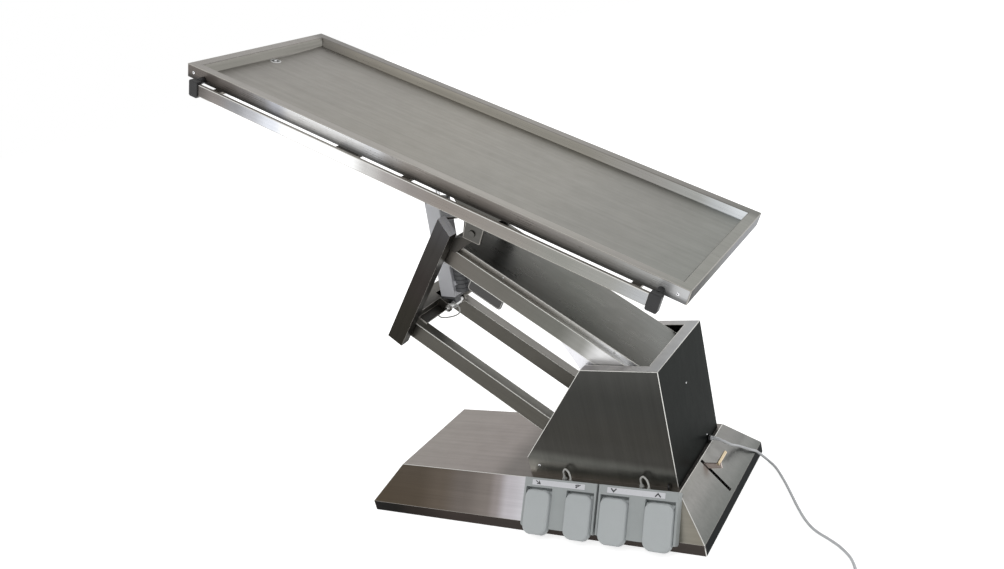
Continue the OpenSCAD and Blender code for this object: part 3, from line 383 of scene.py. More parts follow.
# The arms' and the cover's bright fold lines: a painted highlight.
ARM_LINE = steel("arm_fold_line", (236, 235, 230), 0.35, LIFT, metal=0.3)
CHEEK = steel("cheek_steel", (66, 64, 61), 0.36, LEAN, "Z")
EAR = steel("ear_steel", (84, 83, 80), 0.36, TILT)
BRACKET_DIM = steel("bracket_dim_steel", (104, 102, 98), 0.36, LEAN, "Z")
# Hood steel. Each face has its own tone, which paints the light and shade on it: the front is painted light
# at its foot and dark above, the right side dark, the top with a painted reflection along it, and the inside
# is a shaded copy.
HOOD_FRONT = steel("hood_front_steel", ((0.06, 0, 1), [
    (122, 150, 146, 138), (152, 116, 114, 108), (176, 88, 88, 84), (205, 61, 60, 57), (260, 57, 56, 53),
    (360, 55, 55, 53), (460, 66, 66, 64)]), 0.33, 0, "Z", grain=0.04, haze=0.03)
HOOD_RIGHT = steel("hood_right_steel", (46, 48, 47), 0.33, 0, "Z", grain=0.04, haze=0.05, dull=True)
HOOD_BACK = steel("hood_back_steel", (92, 92, 89), 0.34, 0, "Z")
HOOD_RIM = steel("hood_rim_steel", (X, [
    (225, 146, 143, 142), (330, 160, 157, 155), (385, 156, 155, 154), (426, 156, 157, 158)]), 0.34, 0, "Y")
HOOD_IN = steel("hood_inner_steel", (60, 58, 54), 0.42, 0, "Z")
# Base steel. Each face has its own tone, which paints the light and shade on it: the deck is painted darker
# from x -45 on, in the hood's shade, the front slope has a painted reflection near x 20, the skirts are
# painted dark with shade, and inner_steel, inside the cover, is a shaded copy.
BASE_TOP = steel("base_top_steel", (X, [
    (-415, 146, 140, 135), (-130, 147, 140, 136), (-45, 124, 119, 115), (430, 124, 120, 116)]), 0.42)
BASE_FRONT = steel("base_front_steel", (X, [
    (-501, 80, 71, 60), (-350, 82, 73, 63), (-270, 95, 86, 77), (-190, 107, 100, 95), (-110, 124, 117, 112),
    (-82, 143, 136, 134), (-45, 182, 178, 182), (20, 196, 195, 199), (380, 140, 138, 130),
    (501, 126, 122, 112)]), 0.36, grain=0.05)
BASE_RIGHT = steel("base_right_steel", (Z, [
    (31, 118, 120, 117), (60, 132, 133, 130), (95, 152, 151, 148), (120, 154, 153, 149)]),
    0.36, 0, "Z", grain=0.05)
BASE_BACK = steel("base_back_steel", (126, 120, 114), 0.38, 0, "Y")
SKIRT_FRONT = steel("base_skirt_steel", (X, [
    (-501, 13, 11, 8), (-430, 15, 12, 9), (-350, 35, 29, 25), (-200, 52, 45, 42), (0, 56, 51, 48),
    (501, 62, 57, 54)]), 0.38)
SKIRT_RIGHT = steel("base_skirt_right_steel", (38, 40, 41), 0.38, 0, "Y", dull=True)
DARK_STEEL = steel("inner_steel", (74, 72, 68), 0.45)
PLATE = steel("mast_steel", (126, 124, 120), 0.38, 0, "Z")
BRIGHT = bright("turned_steel", (196, 196, 195))
CHROME = bright("chrome", (228, 229, 231), 0.1)
BRONZE = bright("bronze", (176, 138, 84), 0.32)
LEVER = bright("lever_steel", (214, 196, 166), 0.24)
LEVER_BAR = bright("lever_bar_steel", (206, 192, 186), 0.3)
BLACK = plastic("black_plastic", (20, 20, 22), 0.42, 900.0, 0.12)
RUBBER = plastic("foot_rubber", (26, 26, 27), 0.72, 700.0, 0.14, 0.0001)
NYLON = plastic("wheel_nylon", (62, 63, 66), 0.5, 600.0, 0.08)
TREADLE = plastic("treadle_plastic", (182, 187, 188), 0.46, 1300.0, 0.03)
HOUSING = plastic("housing_plastic", (164, 169, 169), 0.5, 1300.0, 0.04)
FILM = plastic("label_film", (214, 215, 219), 0.3, 2600.0, 0.02, 0.00002)
INK = plastic("label_ink", (40, 42, 46), 0.35, 2600.0, 0.02, 0.00002)
NAME = plastic("plate_dark", (54, 52, 50), 0.36, 2000.0, 0.06, 0.00003)
NAME_EDGE = plastic("plate_border", (196, 194, 190), 0.32, 2000.0, 0.04, 0.00003)
ACTUATOR = plastic("actuator_grey", (214, 215, 219), 0.44, 1500.0, 0.03)
ACTUATOR_DIM = plastic("actuator_dark", (92, 93, 95), 0.5, 1500.0, 0.05)
CABLE = plastic("cable_grey", (196, 198, 200), 0.45, 1100.0, 0.03)
THIN_CABLE = plastic("thin_cable_grey", (188, 188, 184), 0.42, 1100.0, 0.03)
GLAND = plastic("gland_grey", (176, 177, 174), 0.42, 1100.0, 0.04)

# Mesh helpers, in millimetres


def frame_towards(at, towards):
    z = Vector(towards).normalized()
    x = z.orthogonal().normalized()
    return Matrix.Translation(at) @ Matrix((x, z.cross(x), z)).transposed().to_4x4()


def ring_of(r, z, steps):
    """A ring of points round the z axis."""
    turns = [2 * math.pi * k / steps for k in range(steps)]
    return [(r * math.cos(a), r * math.sin(a), z) for a in turns]


class Piece:
    """A piece gathered from bevelled plates, turned bars, tubes and pads, each with its own finish."""

    def __init__(self, name, mats, place=None):
        self.name, self.mats, self.place = name, mats, place or Matrix()
        self.bm = bmesh.new()

    def take(self, part, mat, at=None):
        bmesh.ops.recalc_face_normals(part, faces=part.faces)
        for f in part.faces:
            f.material_index = mat
        if at:
            part.transform(at)
        me = bpy.data.meshes.new("part")
        part.to_mesh(me)
        part.free()
        self.bm.from_mesh(me)
        bpy.data.meshes.remove(me)

    def rounded(self, part, r, mat, segs=2):
        bmesh.ops.bevel(part, geom=part.edges[:], offset=r, segments=segs, profile=0.6, affect="EDGES")
        self.take(part, mat)

    def block(self, low, high, r=1.0, mat=0, segs=2):
        b = bmesh.new()
        bmesh.ops.create_cube(b, size=1)
        low, high = Vector(low), Vector(high)
        b.transform(Matrix.Translation((low + high) / 2) @ Matrix.Diagonal((*(high - low), 1)))
        self.rounded(b, r, mat, segs)

    def plate(self, outline, y0, y1, r=0.8, mat=0):
        """An outline in x and z given thickness along y."""
        b = bmesh.new()
        f = b.faces.new([b.verts.new((x, y0, z)) for x, z in outline])
        made = bmesh.ops.extrude_face_region(b, geom=[f])["geom"]
        far = [v for v in made if isinstance(v, bmesh.types.BMVert)]
        bmesh.ops.translate(b, vec=(0, y1 - y0, 0), verts=far)
        self.rounded(b, r, mat)

    def loft(self, rings, mat=0, at=None):
        b = bmesh.new()
        rows = [[b.verts.new(p) for p in ring] for ring in rings]
        n = len(rows[0])
        for low, high in zip(rows, rows[1:]):
            for i in range(n):
                b.faces.new((low[i], low[(i + 1) % n], high[(i + 1) % n], high[i]))
        b.faces.new(rows[0][::-1])
        b.faces.new(rows[-1])
        self.take(b, mat, at)

    def turn(self, profile, at=(0, 0, 0), towards=Z, mat=0, steps=32):
        """A profile of (radius, height) spun round a direction."""
        self.loft([ring_of(r, z, steps) for r, z in profile], mat, frame_towards(at, towards))

    def tube(self, points, radius, mat=0, sides=12):
        points = [Vector(p) for p in points]
        last = len(points) - 1
        side = (points[1] - points[0]).orthogonal().normalized()
        rings = []
        for i, p in enumerate(points):
            t = (points[min(i + 1, last)] - points[max(i - 1, 0)]).normalized()
            side = (side - t * side.dot(t)).normalized()
            other = t.cross(side)
            r = radius(i / last) if callable(radius) else radius
            rings.append([p + x * side + y * other for x, y, _ in ring_of(r, 0, sides)])
        self.loft(rings, mat)

    def bead(self, a, b, r=1.8, mat=0):
        """A weld bead: a low run of overlapping ripples."""
        a, b = Vector(a), Vector(b)
        count = max(6, int((b - a).length / 2.2))
        self.tube([a + (b - a) * k / count for k in range(count + 1)],
                  lambda f: r * (0.82 + 0.18 * math.cos(f * count * math.pi)), mat, 8)

    def screw(self, at, towards, r=4.0, high=2.4, mat=0, dark=1):
        """A domed head with a hexagon socket."""
        t = Vector(towards).normalized()
        dome = ((0.96, -0.2 / high), (1, 0.25), (0.93, 0.6), (0.72, 0.9), (0.5, 1))
        self.turn([(r * wide, high * up) for wide, up in dome], at, t, mat, 24)
        self.loft([ring_of(0.42 * r, z, 6) for z in (0, 0.06)], dark, frame_towards(Vector(at) + t * high, t))

    def nut(self, at, towards, r=7.0, high=5.0, mat=0):
        profile = ((r * 0.93, 0), (r, 0.6), (r, high - 0.6), (r * 0.93, high))
        self.loft([ring_of(q, z, 6) for q, z in profile], mat, frame_towards(at, towards))

    def done(self, body, slot="bright_steel", replaces=()):
        self.bm.transform(Matrix.Scale(MM, 4) @ self.place)
        me = bpy.data.meshes.new(self.name)
        self.bm.to_mesh(me)
        self.bm.free()
        return finish_piece(me, self.name, self.mats, body, replaces)


def screws(name, head, place, body, spots, replaces=()):
    """Screws in one piece; each spot is a place, a direction, a radius and a height."""
    p = Piece(name, [head, BLACK], place)
    for spot in spots:
        p.screw(*spot)
    p.done(body, replaces=replaces)


def put_in(name, data, body, replaces):
    """An object for the data, on its body, with the CAD nodes that it stands for hidden."""
    ob = bpy.data.objects.new(name, data)
    scene.collection.objects.link(ob)
    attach(ob, body)
    if replaces:
        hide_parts(*replaces)
    return ob


def finish_piece(me, name, mats, body, replaces, smooth=32):
    for m in mats:
        me.materials.append(m)
    me.polygons.foreach_set("use_smooth", [True] * len(me.polygons))
    me.set_sharp_from_angle(angle=math.radians(smooth))
    ob = put_in(name, me, body, replaces)
    ob.modifiers.new("even_normals", "WEIGHTED_NORMAL").keep_sharp = True
    return ob


def cord_curve(name, points, r, mat, body, replaces):
    c = bpy.data.curves.new(name, "CURVE")
    c.dimensions = "3D"
    c.bevel_depth = r * MM
    c.bevel_resolution = 4
    c.use_fill_caps = True
    line = c.splines.new("POLY")
    line.points.add(len(points) - 1)
    for p, q in zip(line.points, points):
        p.co = (*(Vector(q) * MM), 1)
    line.use_smooth = True
    c.materials.append(mat)
    return put_in(name, c, body, replaces)


def smooth_line(p, steps):
    """A smooth curve through the points, in that many steps from each to the next."""
    p = [Vector(q) for q in p]
    out = []
    for i in range(len(p) - 1):
        a, b, c, e = p[max(i - 1, 0)], p[i], p[i + 1], p[min(i + 2, len(p) - 1)]
        for k in range(steps):
            t = k / steps
            bend = 2 * a - 5 * b + 4 * c - e + t * (3 * b - a - 3 * c + e)
            out.append(b + t * (c - a + t * bend) / 2)
    return out + [p[-1]]


def body_of(node):
    return NODES[node]["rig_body"]


def dress(node, name, mats, paint=None, choose=None, wide=1.2, segs=2, place=None, shape=None):
    """A CAD node given its real edges: rounded, with bright bevels that paint edge highlights, and with a
    finish for each face, whose tone paints the light and shade on that face.
    paint(normal, centre) gives a face's finish. choose(edge middle, edge) gives a bevel's finish, with its
    width if that isn't wide, or None for no bevel. Without choose each bevel has the last finish."""
    inverse = (place or Matrix()).inverted() @ Matrix.Scale(1 / MM, 4)
    b = bmesh.new()
    b.from_mesh(NODES[node].data)
    b.transform(inverse)
    bmesh.ops.remove_doubles(b, verts=b.verts, dist=0.01)
    bmesh.ops.dissolve_limit(b, angle_limit=math.radians(0.7), verts=b.verts, edges=b.edges)
    if shape:
        for v in b.verts:
            v.co = shape(v.co)
    b.normal_update()
    for f in b.faces:
        f.material_index = paint(f.normal, f.calc_center_median()) if paint else 0
    groups = {}
    for e in b.edges:
        if len(e.link_faces) == 2 and e.calc_face_angle(0) > math.radians(25):
            m = choose((e.verts[0].co + e.verts[1].co) / 2, e) if choose else len(mats) - 1
            if m is not None:
                groups.setdefault(m if isinstance(m, tuple) else (m, wide), []).append(e)
    for (m, w), edges in groups.items():
        edges = [e for e in edges if e.is_valid]
        bmesh.ops.bevel(b, geom=edges, offset=w, segments=segs, profile=0.55, affect="EDGES",
                        clamp_overlap=True, material=m)
    b.transform(inverse.inverted())
    me = bpy.data.meshes.new(name)
    b.to_mesh(me)
    b.free()
    finish_piece(me, name, mats, body_of(node), (node,), 40)


# Mains lead with its coil and plug
LEAD = [(-73.7, 80, 126), (-70.7, 80, 126), (-57.6, 80, 125.6), (-41.3, 81.8, 118.2), (-29, 92.3, 104),
        (-25.9, 117.2, 86.5), (-27.1, 134.6, 75.2), (-19.5, 150.9, 61.7), (-7.2, 163.3, 48.8),
        (1.2, 179.8, 35.8), (9.8, 187.2, 22.9), (21.8, 187.2, 11.5), (34.6, 181, 4.9), (47, 169.1, 3.8),
        (65.4, 144, 4.1), (96.8, 92.4, 3.8), (125, 41, 3.8), (151, -6.9, 3.8), (175, -47, 3.8),
        (198.9, -78.9, 3.8), (221, -99, 3.8), (244.2, -115.1, 3.8), (274, -139, 3.8), (302, -172, 3.8),
        (320, -212.1, 3.8), (328, -249.8, 3.8), (329.7, -271, 3.8), (329.7, -278, 3.8)]


def coil(s):
    """A place on the coil, s turns from the middle of its run: inwards on the floor, then outwards on top."""
    r = 29 + 7.8 * abs(s)
    a = math.radians(180 + 360 * (s + 3.25))
    high = 3.8 + 7.8 * min(max((s + 0.25) / 0.5, 0), 1)
    return COIL + Vector((r * math.cos(a), r * math.sin(a), high))


route = [p + Vector((BASE_END, 0, 0)) for p in smooth_line(LEAD, 6)]
route += [coil(-3.25 + k / 48) for k in range(301)]
route.append(coil(3) + Vector((7, 0, 0)))
lead = cord_curve("mains_lead", route, 3.5, CABLE, "base", ("power_lead", "power_lead_coil"))


def plug_section(x, wide, high):
    """A rounded rectangle across the plug, its sides given as parts of the plug's."""
    ring = []
    for k in range(32):
        c, s = (f(2 * math.pi * (k + 0.5) / 32) for f in (math.cos, math.sin))
        ring.append((x, 17 * c * abs(c) ** -0.45 * wide, 8.3 * s * abs(s) ** -0.45 * high - 0.3))
    return ring


plug = Piece("mains_plug", [CABLE, BRIGHT, BLACK], Matrix.Translation(route[-1]))
ribs = [((5.4, 4.4)[k % 2], 5 + 1.7 * k) for k in range(18)]
plug.turn([(3.6, 0), (3.9, 2), (3.9, 4), *ribs, (6.2, 37), (7.5, 41)], towards=X, steps=24)
plug.loft([plug_section(*row) for row in (
    (39.5, 0.42, 0.62), (42, 0.56, 0.8), (48, 0.72, 0.92), (58, 0.9, 0.99), (66, 0.97, 1), (78, 1, 1),
    (81.4, 0.98, 0.98), (82, 0.95, 0.95))])
for k in range(4):
    plug.block((54 + 4 * k, -15.4, 6.1), (55.8 + 4 * k, 15.4, 6.9), 0.35, 0, 1)
for y in (-9.5, 9.5):
    plug.turn([(2.9, 0), (2.9, 8.6), (2.4, 9)], (82, y, 0), X, 2, 20)
    plug.turn([(2.35, 0), (2.35, 9), (1.9, 10), (0.9, 10.4)], (90.6, y, 0), X, 1, 20)
plug = plug.done("base", "cable_grey", ("power_plug",))

relief = Piece("lead_strain_relief", [CABLE, BLACK])
relief.tube(route[:17], lambda f: (6.1 - 2.2 * f) + (0.35 if int(f * 16) % 2 else -0.35), 0, 16)
collar = [(7.4, -1.4), (8.6, -1.4), (9, -0.6), (9, 1.6), (8.2, 3.0), (6.4, 3.4)]
relief.turn(collar, (423.3, 80, 126), X, 1, 28)
relief.nut((424.2, 80, 126), X, 8.2, 3.8, 1)
relief = relief.done("base", "cable_grey", ("lead_gland",))

tie = Piece("coil_tie", [BLACK])
outer = [(25.0, 0.03), (58.2, 0.03), (58.6, 8), (58.0, 15.6), (56, 16.6), (27.4, 16.6), (24.6, 15.4),
         (24.4, 8)]
inner = [(25.4, 0.25), (57.8, 0.25), (58.2, 8), (57.6, 15.3), (55.8, 16.2), (27.6, 16.2), (25.0, 15.1),
         (24.8, 8)]
band = bmesh.new()
rings = ((-5, outer), (5, outer), (5, inner), (-5, inner))
rows = [[band.verts.new((x, y, z)) for x, z in ring] for y, ring in rings]
for p, q in zip(rows, rows[1:] + rows[:1]):
    for i in range(8):
        band.faces.new((p[i], p[(i + 1) % 8], q[(i + 1) % 8], q[i]))
tie.take(band, 0, Matrix.Translation(COIL) @ Matrix.Rotation(math.radians(62), 4, "Z"))
tie = tie.done("base", "black_plastic")

# Thin leads on the pedals and on the tilt actuator
LOOP = [(0, 0, 0), (0, 0, 8), (2, -1, 19), (11, -4, 27), (21, -8, 21.5), (25.5, -12, 9.5), (26, -16.2, 1.7)]
HOOK = [(0, 0, 0), (0, -2, 0), (0, -4, 0), (1, -7, -2.5), (1, -8, -7.2)]
for side, x in PEDALS:
    start = Vector((x - 3.5, -157, 125))
    path = [p + start for p in smooth_line(LOOP, 8)]
    thin = cord_curve(f"{side}_pedal_lead", path, 2.5, THIN_CABLE, "base", ("pedal_leads",))
path = [p + Vector((399, -148.3, 128)) for p in smooth_line(HOOK, 8)]
cord_curve("hood_pedal_lead", path, 2.5, BLACK, "base", ("pedal_leads",))
HEAD_LEAD = [(56.7, -39.2, -192), (56.7, -43.4, -191.7), (56.9, -47.2, -189.6), (57.8, -49.6, -185.9),
             (59.6, -50.2, -181.4), (62.6, -49.8, -176.6), (67, -49.2, -171.8), (73.4, -48.6, -167.8),
             (81.4, -48.2, -166.6), (89, -48, -169.4), (94, -48, -176), (95, -48, -184.6),
             (91.4, -48, -194.4), (84, -48, -205.6), (74.8, -48, -216.6), (65.6, -48, -226.2),
             (57.4, -48, -233), (49.4, -48, -236.2), (42, -48, -234), (38.2, -48, -227.6),
             (37.8, -48, -219.9)]
path = [HEAD @ p for p in smooth_line(HEAD_LEAD, 4)]
thin = cord_curve("tilt_actuator_lead", path, 2.0, THIN_CABLE, "head", ("actuator_lead",))

# Tabletop


def table_paint(n, c):
    if n.z > 0.9:
        return 0 if c.z > -3 else 1
    if n.z < -0.9:
        return 5
    if abs(c.x) < 676 and abs(c.y) < 233 and c.z > BASIN_FLOOR - 2.5 and n.z > 0.1:
        return 2 if abs(n.y) > 0.8 else 3
    if n.y < -0.9 and c.y < 1 - TOP_Y:
        return 4
    if n.x > 0.9 and c.x > TOP_X - 1:
        return 6
    return 5 if abs(c.x) < TOP_X - 1 and abs(c.y) < TOP_Y - 1 else 7


def table_edges(c, e):
    end, side = abs(c.x) > TOP_X - 1, abs(c.y) > TOP_Y - 1
    if c.z > -1:
        mouth = abs(c.x) < 678 and abs(c.y) < 235
        return (8, 1.6) if end or side else (0, 2.2) if mouth else None
    if BASIN_FLOOR - 1 < c.z < BASIN_FLOOR + 0.5 and not e.is_convex:
        return (2 if abs(c.y) > 221 else 3, 3.0)
    if end and side:
        return (8, 1.4)
    return (7, 1.0) if end or side else None


def splay(p):
    """The basin's walls lean outwards, as pressed ones do."""
    if p.z > -3:
        if 660 < abs(p.x) < 669:
            p.x += math.copysign(9, p.x)
        if 217 < abs(p.y) < 226:
            p.y += math.copysign(9, p.y)
    return p


dress("tabletop", "table_tray",
      [RIM, BASIN, WALL, END_WALL, SKIRT, TABLE_UNDER, SKIRT_END, TABLE_BODY, SOFT_EDGE],
      table_paint, table_edges, place=TABLE, segs=3, shape=splay)

# Drain
hole = TABLE @ Matrix.Translation((-645.5, 4.5, BASIN_FLOOR))
drain = Piece("drain_strainer", [CHROME, BLACK, BRIGHT], hole)
drain.turn([(10.6, -2.5), (10.6, 0.3), (11.2, 0.8), (13.6, 0.9), (15.4, 0.5), (15.8, 0.05), (15.8, -1.9)],
           mat=2)
# The black disc stands for the shade down in the drain: painted shade.
drain.turn([(10.2, -1.2), (10.4, 0.1), (7.0, 0.35), (2.0, 0.4)], mat=1, steps=28)
drain.turn([(3.9, 0.2), (4.2, 0.6), (3.6, 1.5), (2.2, 1.9)], steps=20)
for k in range(8):
    a = math.radians(45 * k + 22)
    drain.turn([(1.3, 0.2), (1.3, 0.5)], (7.2 * math.cos(a), 7.2 * math.sin(a), 0), steps=12)
drain.done("table")

# Rails with their end caps and hangers


def rail_paint(n, c):
    return 0 if n.y < -0.9 else 1


for node in ("front_rail", "rear_rail"):
    dress(node, node + "_bar", [RAIL, TABLE_BODY, EDGE], rail_paint, wide=1.4, place=TABLE)
dress("rail_end_caps", "rail_caps", [BLACK], wide=2.4, segs=3, place=TABLE)
bumpers = Piece("rail_end_bumpers", [BLACK], TABLE)
for x in (-642, 642):
    for y in (-1, 1):
        at = (x, 257.4 * y, -24)
        bumpers.turn([(7.4, 0), (8.2, 1), (8.2, 17), (7.2, 19.4)], at, (0, y, -0.1), steps=24)
bumpers.done("table", "black_plastic")
wide_hangers = Piece("rail_wide_hangers", [TABLE_UNDER], TABLE)
for y in (-1, 1):
    low_y, high_y = sorted((215 * y, 281 * y))
    wide_hangers.block((-203, low_y, -42), (-139, high_y, -34), 0.8)
wide_hangers.done("table", SLOT["rail_brackets"])
screws("rail_hanger_screws", BRIGHT, TABLE, "table", [
    ((x, y * k, -42), (0, 0, -1), 3.4, 2.0) for x in (-590, 0, 590) for y in (-1, 1) for k in (226, 238)])
screws("skirt_screws", CHROME, TABLE, "table", [
    ((x, TOP_Y * y, -18), (0, y, 0), 4.0, 1.9) for x in (-678.7, 675.8) for y in (-1, 1)], ("table_screws",))

# Welds and pin clips under the tabletop
welds = Piece("table_frame_welds", [BRACKET_DIM], TABLE)
for y in (-1, 1):
    for x in (-295, -225, 230):
        welds.bead((x, 119.6 * y, -63), (x, 119.6 * y, -28), 1.9)
    for x in (-134, -90):
        welds.bead((x, 119.6 * y, -51), (x, 119.6 * y, -28), 1.8)
    welds.bead((64, 129 * y, -65.2), (196, 129 * y, -65.2), 1.9)
welds.done("table", "frame_steel")
clips = Piece("pin_clips", [BRIGHT], TABLE)
for y in (-1, 1):
    clips.turn([(10.4, 0), (11, 0.4), (11, 1.2), (10.4, 1.6)], (-112, 39.4 * y, -77), (0, y, 0), steps=28)
clips.done("table")

# Arms and their cover


def arm_paint(n, c):
    if n.y < -0.9:
        return 0
    return 1 if n.z > 0.9 else 2


def arm_edges(c, e):
    if any(abs(f.normal.x) > 0.5 for f in e.link_faces):
        return (4, 0.8) if abs(abs(c.z) - 24) < 0.5 else None
    if c.z > 23:
        return (3, 1.7)
    return (4, 1.7) if c.z < -23 and e.is_convex else None


def cover_paint(n, c):
    if n.z > 0.9 and c.z > 36:
        return 0
    return 3 if n.z < -0.5 else 1


def cover_edges(c, e):
    if not e.is_convex:
        return None
    return (2, 1.5) if c.z > 36 and c.x < 15 else (1, 0.6)


for node, place, front, top in (
        ("upper_arm_front", UPPER_ARM, ARM_FRONT, ARM_TOP),
        ("upper_arm_rear", UPPER_ARM, ARM_LOW_FRONT, ARM_REAR_TOP),
        ("lower_arm_front", LOWER_ARM, ARM_LOW_FRONT, ARM_LOW_TOP),
        ("lower_arm_rear", LOWER_ARM, ARM_LOW_FRONT, ARM_REAR_TOP)):
    dress(node, node + "_tube", [front, top, ARM_UNDER, EDGE, SOFT_EDGE], arm_paint, arm_edges, place=place)
dress("arm_cover", "arm_cover_tray", [COVER, COVER_SIDE, EDGE, ARM_UNDER], cover_paint, cover_edges,
      place=UPPER_ARM)
screws("cover_screw_heads", BRIGHT, UPPER_ARM, body_of("cover_screws"), [
    ((x, 106.6 * y, 31), (0, y, 0), 3.0, 1.8) for x in (-420, -90) for y in (-1, 1)], ("cover_screws",))

# Name plate
badge = Piece("bare_name_plate", [NAME, NAME_EDGE], UPPER_ARM)


def badge_ring(inset, y):
    """The plate's outline at a depth: two upper corners, and two lower ones that are round."""
    x0, x1, z0, r = -497 + inset, -392 - inset, -57 + inset, 10 - inset * 0.5
    turns = [math.pi * k / 16 for k in range(1, 8)]
    left = [(x0 + r - r * math.cos(a), y, z0 + r - r * math.sin(a)) for a in turns]
    right = [(x1 - r + r * math.sin(a), y, z0 + r - r * math.cos(a)) for a in turns]
    return [(x0, y, -24), (x0, y, z0 + r), *left, (x0 + r, y, z0), (x1 - r, y, z0), *right, (x1, y, z0 + r),
            (x1, y, -24)]


badge.loft([badge_ring(0, -109), badge_ring(0, -111.4), badge_ring(0.6, -112), badge_ring(1.6, -112)])
border = badge_ring(2.6, -112)
for a, b in zip(border, border[1:]):
    badge.tube([a, b], 0.9, 1, 6)
badge.tube([(-494.4, -112, -27.4), (-394.6, -112, -27.4)], 0.9, 1, 6)
badge.done(body_of("name_plate"), "dark_plate", ("name_plate",))

# Head


def head_paint(n, c):
    if n.y < -0.9 and c.y < -156:
        return 0
    if n.x > 0.9 and c.x > 23:
        return 1
    return 4 if n.z > 0.3 and c.z > 78 else 2


for node in ("head_tube_front", "head_tube_rear"):
    dress(node, node + "_box", [HEAD_OUT, HEAD_EDGE, HEAD_IN, SOFT_EDGE, CAP], head_paint,
          lambda c, e: (3, 1.5) if e.is_convex else None, place=HEAD)
joints = Piece("head_welds_and_bolts", [BRACKET_DIM, BRIGHT, BLACK], HEAD)
for y in (-1, 1):
    for x in (-23, 23):
        joints.bead((x, 124.4 * y, -219), (x, 124.4 * y, -191), 1.8)
    joints.screw((56, 42 * y, -202), (0, y, 0), 6.2, 3.4, 1, 2)
joints.turn([(5.6, 0), (6, 0.5), (6, 2.2), (5.2, 3.2)], (56.7, -36.2, -192), (0, -1, 0), 1, 24)
joints.done("head")

# Actuators


def piston(drive, low, high, long):
    """A rod from the upper pin down into its tube, with its collar and its eye."""
    rod = Piece(drive + "_actuator_piston", [CHROME, BRIGHT], actuator(high, 2 * high - low))
    rod.turn([(11, -long), (11, -16)], steps=36)
    rod.turn([(13, -24), (13.4, -22), (13.4, -14), (12, -12)], mat=1)
    rod.turn([(14, -13.9), (14, 13.9)], towards=Y, mat=1)
    node = drive + "_actuator_rod"
    rod.done(body_of(node), replaces=(node,))


tube = Piece("tilt_actuator_body", [ACTUATOR, ACTUATOR_DIM, BRIGHT, BLACK], TILT_TUBE)
tube.block((-23, -29, 28), (23, 29, 294), 3.0, 0, 3)
tube.block((-22, -28, 22), (22, 28, 32), 2.0, 1, 2)
tube.block((-22.6, -28.6, 288), (22.6, 28.6, 300), 2.6, 1, 3)
tube.turn([(17.5, 0), (17.5, 2.4), (15.6, 3.4), (12.6, 3.4)], (0, 0, 297), mat=3)
tube.turn([(12, -14), (12, 14)], towards=Y, mat=2, steps=28)
tube.block((-11.6, -13.6, 2), (11.6, 13.6, 24), 1.2, 1)
for k in range(9):
    tube.turn([(22, 0), (22.4, 0.8), (22.4, 9.2), (22, 10)], (36, 0, 42 + 12 * k), mat=1)
tube.turn([(20.8, 0), (20.8, 108)], (36, 0, 41), mat=1)
tube.turn([(14, 0), (18, 1.2), (18.6, 4)], (36, 0, 146), mat=1, steps=28)
tube.block((8, -21, 60), (34, 21, 74), 2.0, 0)
for x in (-17, 17):
    for y in (-23, 23):
        tube.screw((x, y, 300), Z, 2.6, 1.6, 2, 3)
for z in (70, 150, 230):
    tube.block((-23.4, -24, z), (-22.6, 24, z + 2.4), 0.3, 1, 1)
tube.done(body_of("tilt_actuator_tube"), "actuator_grey", ("tilt_actuator_tube",))
piston("tilt", TILT_LOW, TILT_HIGH, 280)
tube = Piece("lift_actuator_body", [ACTUATOR, ACTUATOR_DIM, BRIGHT, BLACK], LIFT_TUBE)
tube.turn([(22, 18), (24, 20), (24, 30), (23.2, 31), (23.2, 178), (24, 179), (24, 186), (22.6, 188),
           (15, 188)], steps=40)
tube.turn([(14, -14), (14, 14)], towards=Y, mat=2, steps=28)
tube.block((-13.6, -13.6, 2), (13.6, 13.6, 21), 1.4, 1)
tube.turn([(18, 34), (21, 36), (21, 40), (20.2, 41), (20.2, 122), (21, 123), (21, 128), (18, 130)],
          (38, 0, 0), steps=36)
tube.block((6, -19, 40), (34, 19, 62), 2.4, 1)
tube.turn([(14.6, 0), (14.6, 2.2), (12.8, 3.0)], (0, 0, 186), mat=3)
tube.done(body_of("lift_actuator_tube"), "actuator_grey", ("lift_actuator_tube",))
piston("lift", LIFT_FOOT, LIFT_HEAD, 158)

# Base cover


def base_paint(n, c):
    up = max(0, c.z - BASE_LIP)
    inner = abs(c.x) < BASE_END - 2.5 - up * 0.79 and abs(c.y) < 231.8 - up * 0.775
    if c.z < 4 or (n.z < -0.1 and c.z < BASE_HIGH - 2.5) or (inner and n.z < 0.9):
        return 7
    if n.z > 0.9:
        return 0 if c.z > BASE_HIGH - 1 else 7
    if n.z > 0.3:
        return 1 if n.y < -0.3 else (2 if n.x > 0.3 else 3)
    return 4 if n.y < -0.9 else (5 if n.x > 0.9 else 6)


def base_edges(c, e):
    if not e.is_convex or (abs(c.y + 15) < 5 and c.x > DECK_END + 1):
        return None
    hip = abs((c.x - DECK_END) / 71 - (-DECK_SIDE - c.y) / 69) < 0.05 and c.x > DECK_END + 1 and c.y < -166
    if hip and BASE_LIP + 1 < c.z < BASE_HIGH - 1:
        return (8, 2.4)
    if c.z > BASE_HIGH - 1 or abs(c.z - BASE_LIP) < 0.5:
        return (9, 1.6)
    return (9, 1.2) if abs(c.x) > BASE_END - 1 and abs(c.y) > 233 else None


def slot_edges(p):
    """The lever's slot is a little wider than the CAD node's."""
    if p.x > DECK_END and abs(p.y + 15) < 6 and p.z > BASE_LIP + 1:
        p.y = -15 + math.copysign(5.6, p.y + 15)
    return p


dress("base_cover", "base_shell",
      [BASE_TOP, BASE_FRONT, BASE_RIGHT, BASE_BACK, SKIRT_FRONT, SKIRT_RIGHT, SKIRT_FRONT, DARK_STEEL,
       EDGE, SOFT_EDGE], base_paint, base_edges, shape=slot_edges)

